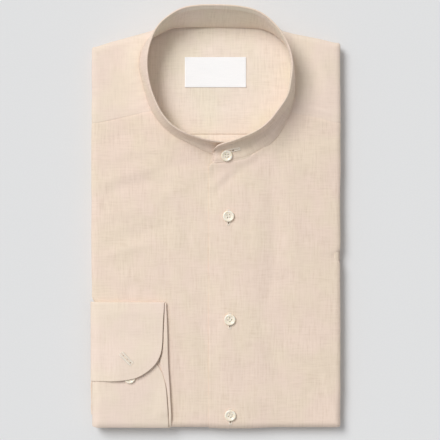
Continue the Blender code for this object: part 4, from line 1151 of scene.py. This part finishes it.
def make_button(node, place, facing, spin, finish, cotton):
    """Four-hole shell button, and the thread that holds it."""
    data = button_mesh(node + "_shell")
    data.materials.clear()
    data.materials.append(finish)
    data.shade_smooth()
    data.set_sharp_from_angle(angle=math.radians(40))
    button = placed(node + "_shell", data)
    turn = Vector(facing).to_track_quat("Z", "Y") @ Quaternion((0, 0, 1), math.radians(spin))
    button.rotation_mode = "QUATERNION"
    button.rotation_quaternion = turn
    button.location = Vector(np.array(place) * MM + SHIFT)
    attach(button, "root")
    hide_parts(node)
    axes = np.array(turn.to_matrix())
    runs = []
    reach = BUTTON_HOLES[1][0] - BUTTON_HOLES[0][0] + 0.7
    for y in (BUTTON_HOLES[0][1], BUTTON_HOLES[2][1]):
        for shift in (-THREAD_PAIR, THREAD_PAIR):
            centre = axes @ (0, y + shift, THREAD_HEIGHT) + place
            runs.append(beads(centre[None], axes[:, 0][None], axes[:, 2][None], reach, 0.27, 0.6))
    sew(node + "_thread", runs, cotton)


def make_fastenings(points, facing, finish):
    """All buttons and buttonholes."""
    pale = thread("button_thread", (0.9, 0.84, 0.72))
    under_flap, holes = cuff_face(1), []
    for number, (x, y, spin) in enumerate(FRONT_BUTTONS, start=1):
        place = left_front_face(x, y, lift=BUTTON_SEAT)
        make_button(f"button_front_{number}", place, pack_facing(x, y), spin, finish, pale)
        low, high = FRONT_HOLE
        line = on_cloth(left_front_face, x, np.linspace(y + low, y + high, 15))
        holes.append(buttonhole(*line, *FRONT_STITCHES))
    station, row = BUTTON_STATION * BAND_STEPS, BUTTON_ROW
    along = unit(points[row, station - 6] - points[row, station + 6])
    up = unit(np.cross(along, points[row + BUTTON_REACH, station] - points[row - BUTTON_REACH, station]))
    place = points[row, station] + up * (0.5 * BAND_CLOTH + BUTTON_SEAT)
    make_button("button_collar", place, up, -8, finish, pale)
    hole = row + HOLE_ROWS, slice(station, station - HOLE_COLUMNS - 1, -1)
    line, normals = points[hole] + facing[hole] * 0.5 * BAND_CLOTH, facing[hole]
    holes.append(buttonhole(line, normals, *BAND_STITCHES))
    x, y, spin = CUFF_BUTTON
    make_button("button_cuff", under_flap(x, y, lift=BUTTON_SEAT), pack_facing(x, y), spin, finish, pale)
    holes.append(buttonhole(*on_cloth(cuff_face(2), *np.linspace(*CUFF_HOLE, 15).T), *CUFF_STITCHES))
    runs, painted_slit_shades = (sum(part, []) for part in zip(*holes))
    # The slits' dark beads are painted shade, in a dark thread colour.
    sew("buttonhole_slit_painted_shade", painted_slit_shades, thread("slit_shade", (0.22, 0.14, 0.09)))
    sew("buttonhole_stitches", runs, thread("buttonhole_thread", (0.99, 0.91, 0.8)))


# Light and camera

def make_stage(finish):
    """Pale floor, two soft lights from the upper left, an even sky."""
    mesh = bmesh.new()
    bmesh.ops.create_grid(mesh, x_segments=2, y_segments=2, size=4)
    data = bpy.data.meshes.new("floor")
    mesh.to_mesh(data)
    mesh.free()
    data.materials.append(finish)
    floor = placed("floor", data)
    floor.location.z = -0.2 * MM
    for name, strength, spread, elevation, heading in (KEY, FILL):
        lamp = bpy.data.lights.new(name, "SUN")
        lamp.energy, lamp.angle = strength, math.radians(spread)
        placed(name, lamp).rotation_euler = (math.radians(90 - elevation), 0, math.radians(heading))
    world = bpy.data.worlds.new("studio")
    world.use_nodes = True
    sky = world.node_tree.nodes["Background"]
    sky.inputs["Color"].default_value = (1, 1, 1, 1)
    sky.inputs["Strength"].default_value = SKY_STRENGTH
    bpy.context.scene.world = world
    bpy.context.scene.view_settings.view_transform = "Standard"


def make_camera():
    """Camera straight above the shirt, as for a flat lay."""
    data = bpy.data.cameras.new("camera")
    data.lens, data.sensor_width = CAMERA_LENS, CAMERA_SENSOR
    camera = placed("camera", data)
    camera.location = Vector((CAMERA_X * MM + SHIFT[0], CAMERA_Y * MM + SHIFT[1], CAMERA_Z * MM))
    bpy.context.scene.camera = camera


def main():
    """Builds the shirt's looks."""
    # The inside linen is painted lighter than the outer linen: painted light for the shaded inside of the
    # neck.
    cloth, inside = linen("linen", LINEN), linen("linen_inside_painted_light", LINEN_INSIDE_PAINTED_LIGHT)
    pressed = linen("linen_pressed", scaled(LINEN, 1.015, PRESSED_TINT), 0.6)
    sheets = {
        "front_left": make_front(True, cloth), "front_right": make_front(False, cloth),
        "yoke": make_yoke(pressed), "label": make_label(label_weave()),
        "cuff": make_cuff(pressed), "sleeve": make_sleeve(cloth), "folded_layers": make_layers(cloth),
    }
    sheets["yoke_inner"], sheets["back"] = make_inside(inside)
    points, flats, facing = band_surface()
    sheets["collar_band"] = make_band(points, flats, cloth, inside)
    make_fastenings(points, facing, button_shell())
    seams = {
        "front_left": placket_seam(), "yoke": yoke_seams(), "yoke_inner": inside_seam(),
        "collar_band": band_seams(points, flats, facing), "cuff": cuff_seams(), "label": label_seams(),
    }
    cotton = thread("cotton_thread", (0.88, 0.74, 0.62))
    white = thread("label_thread", (0.95, 0.94, 0.95))
    for node, (piece, cut) in sheets.items():
        sewn = []
        if node in seams:
            finish, slot = (white, "label") if node == "label" else (cotton, "cloth")
            sewn = [sew(node + "_stitches", seams[node], finish)]


main()
make_stage(floor_paper())
make_camera()
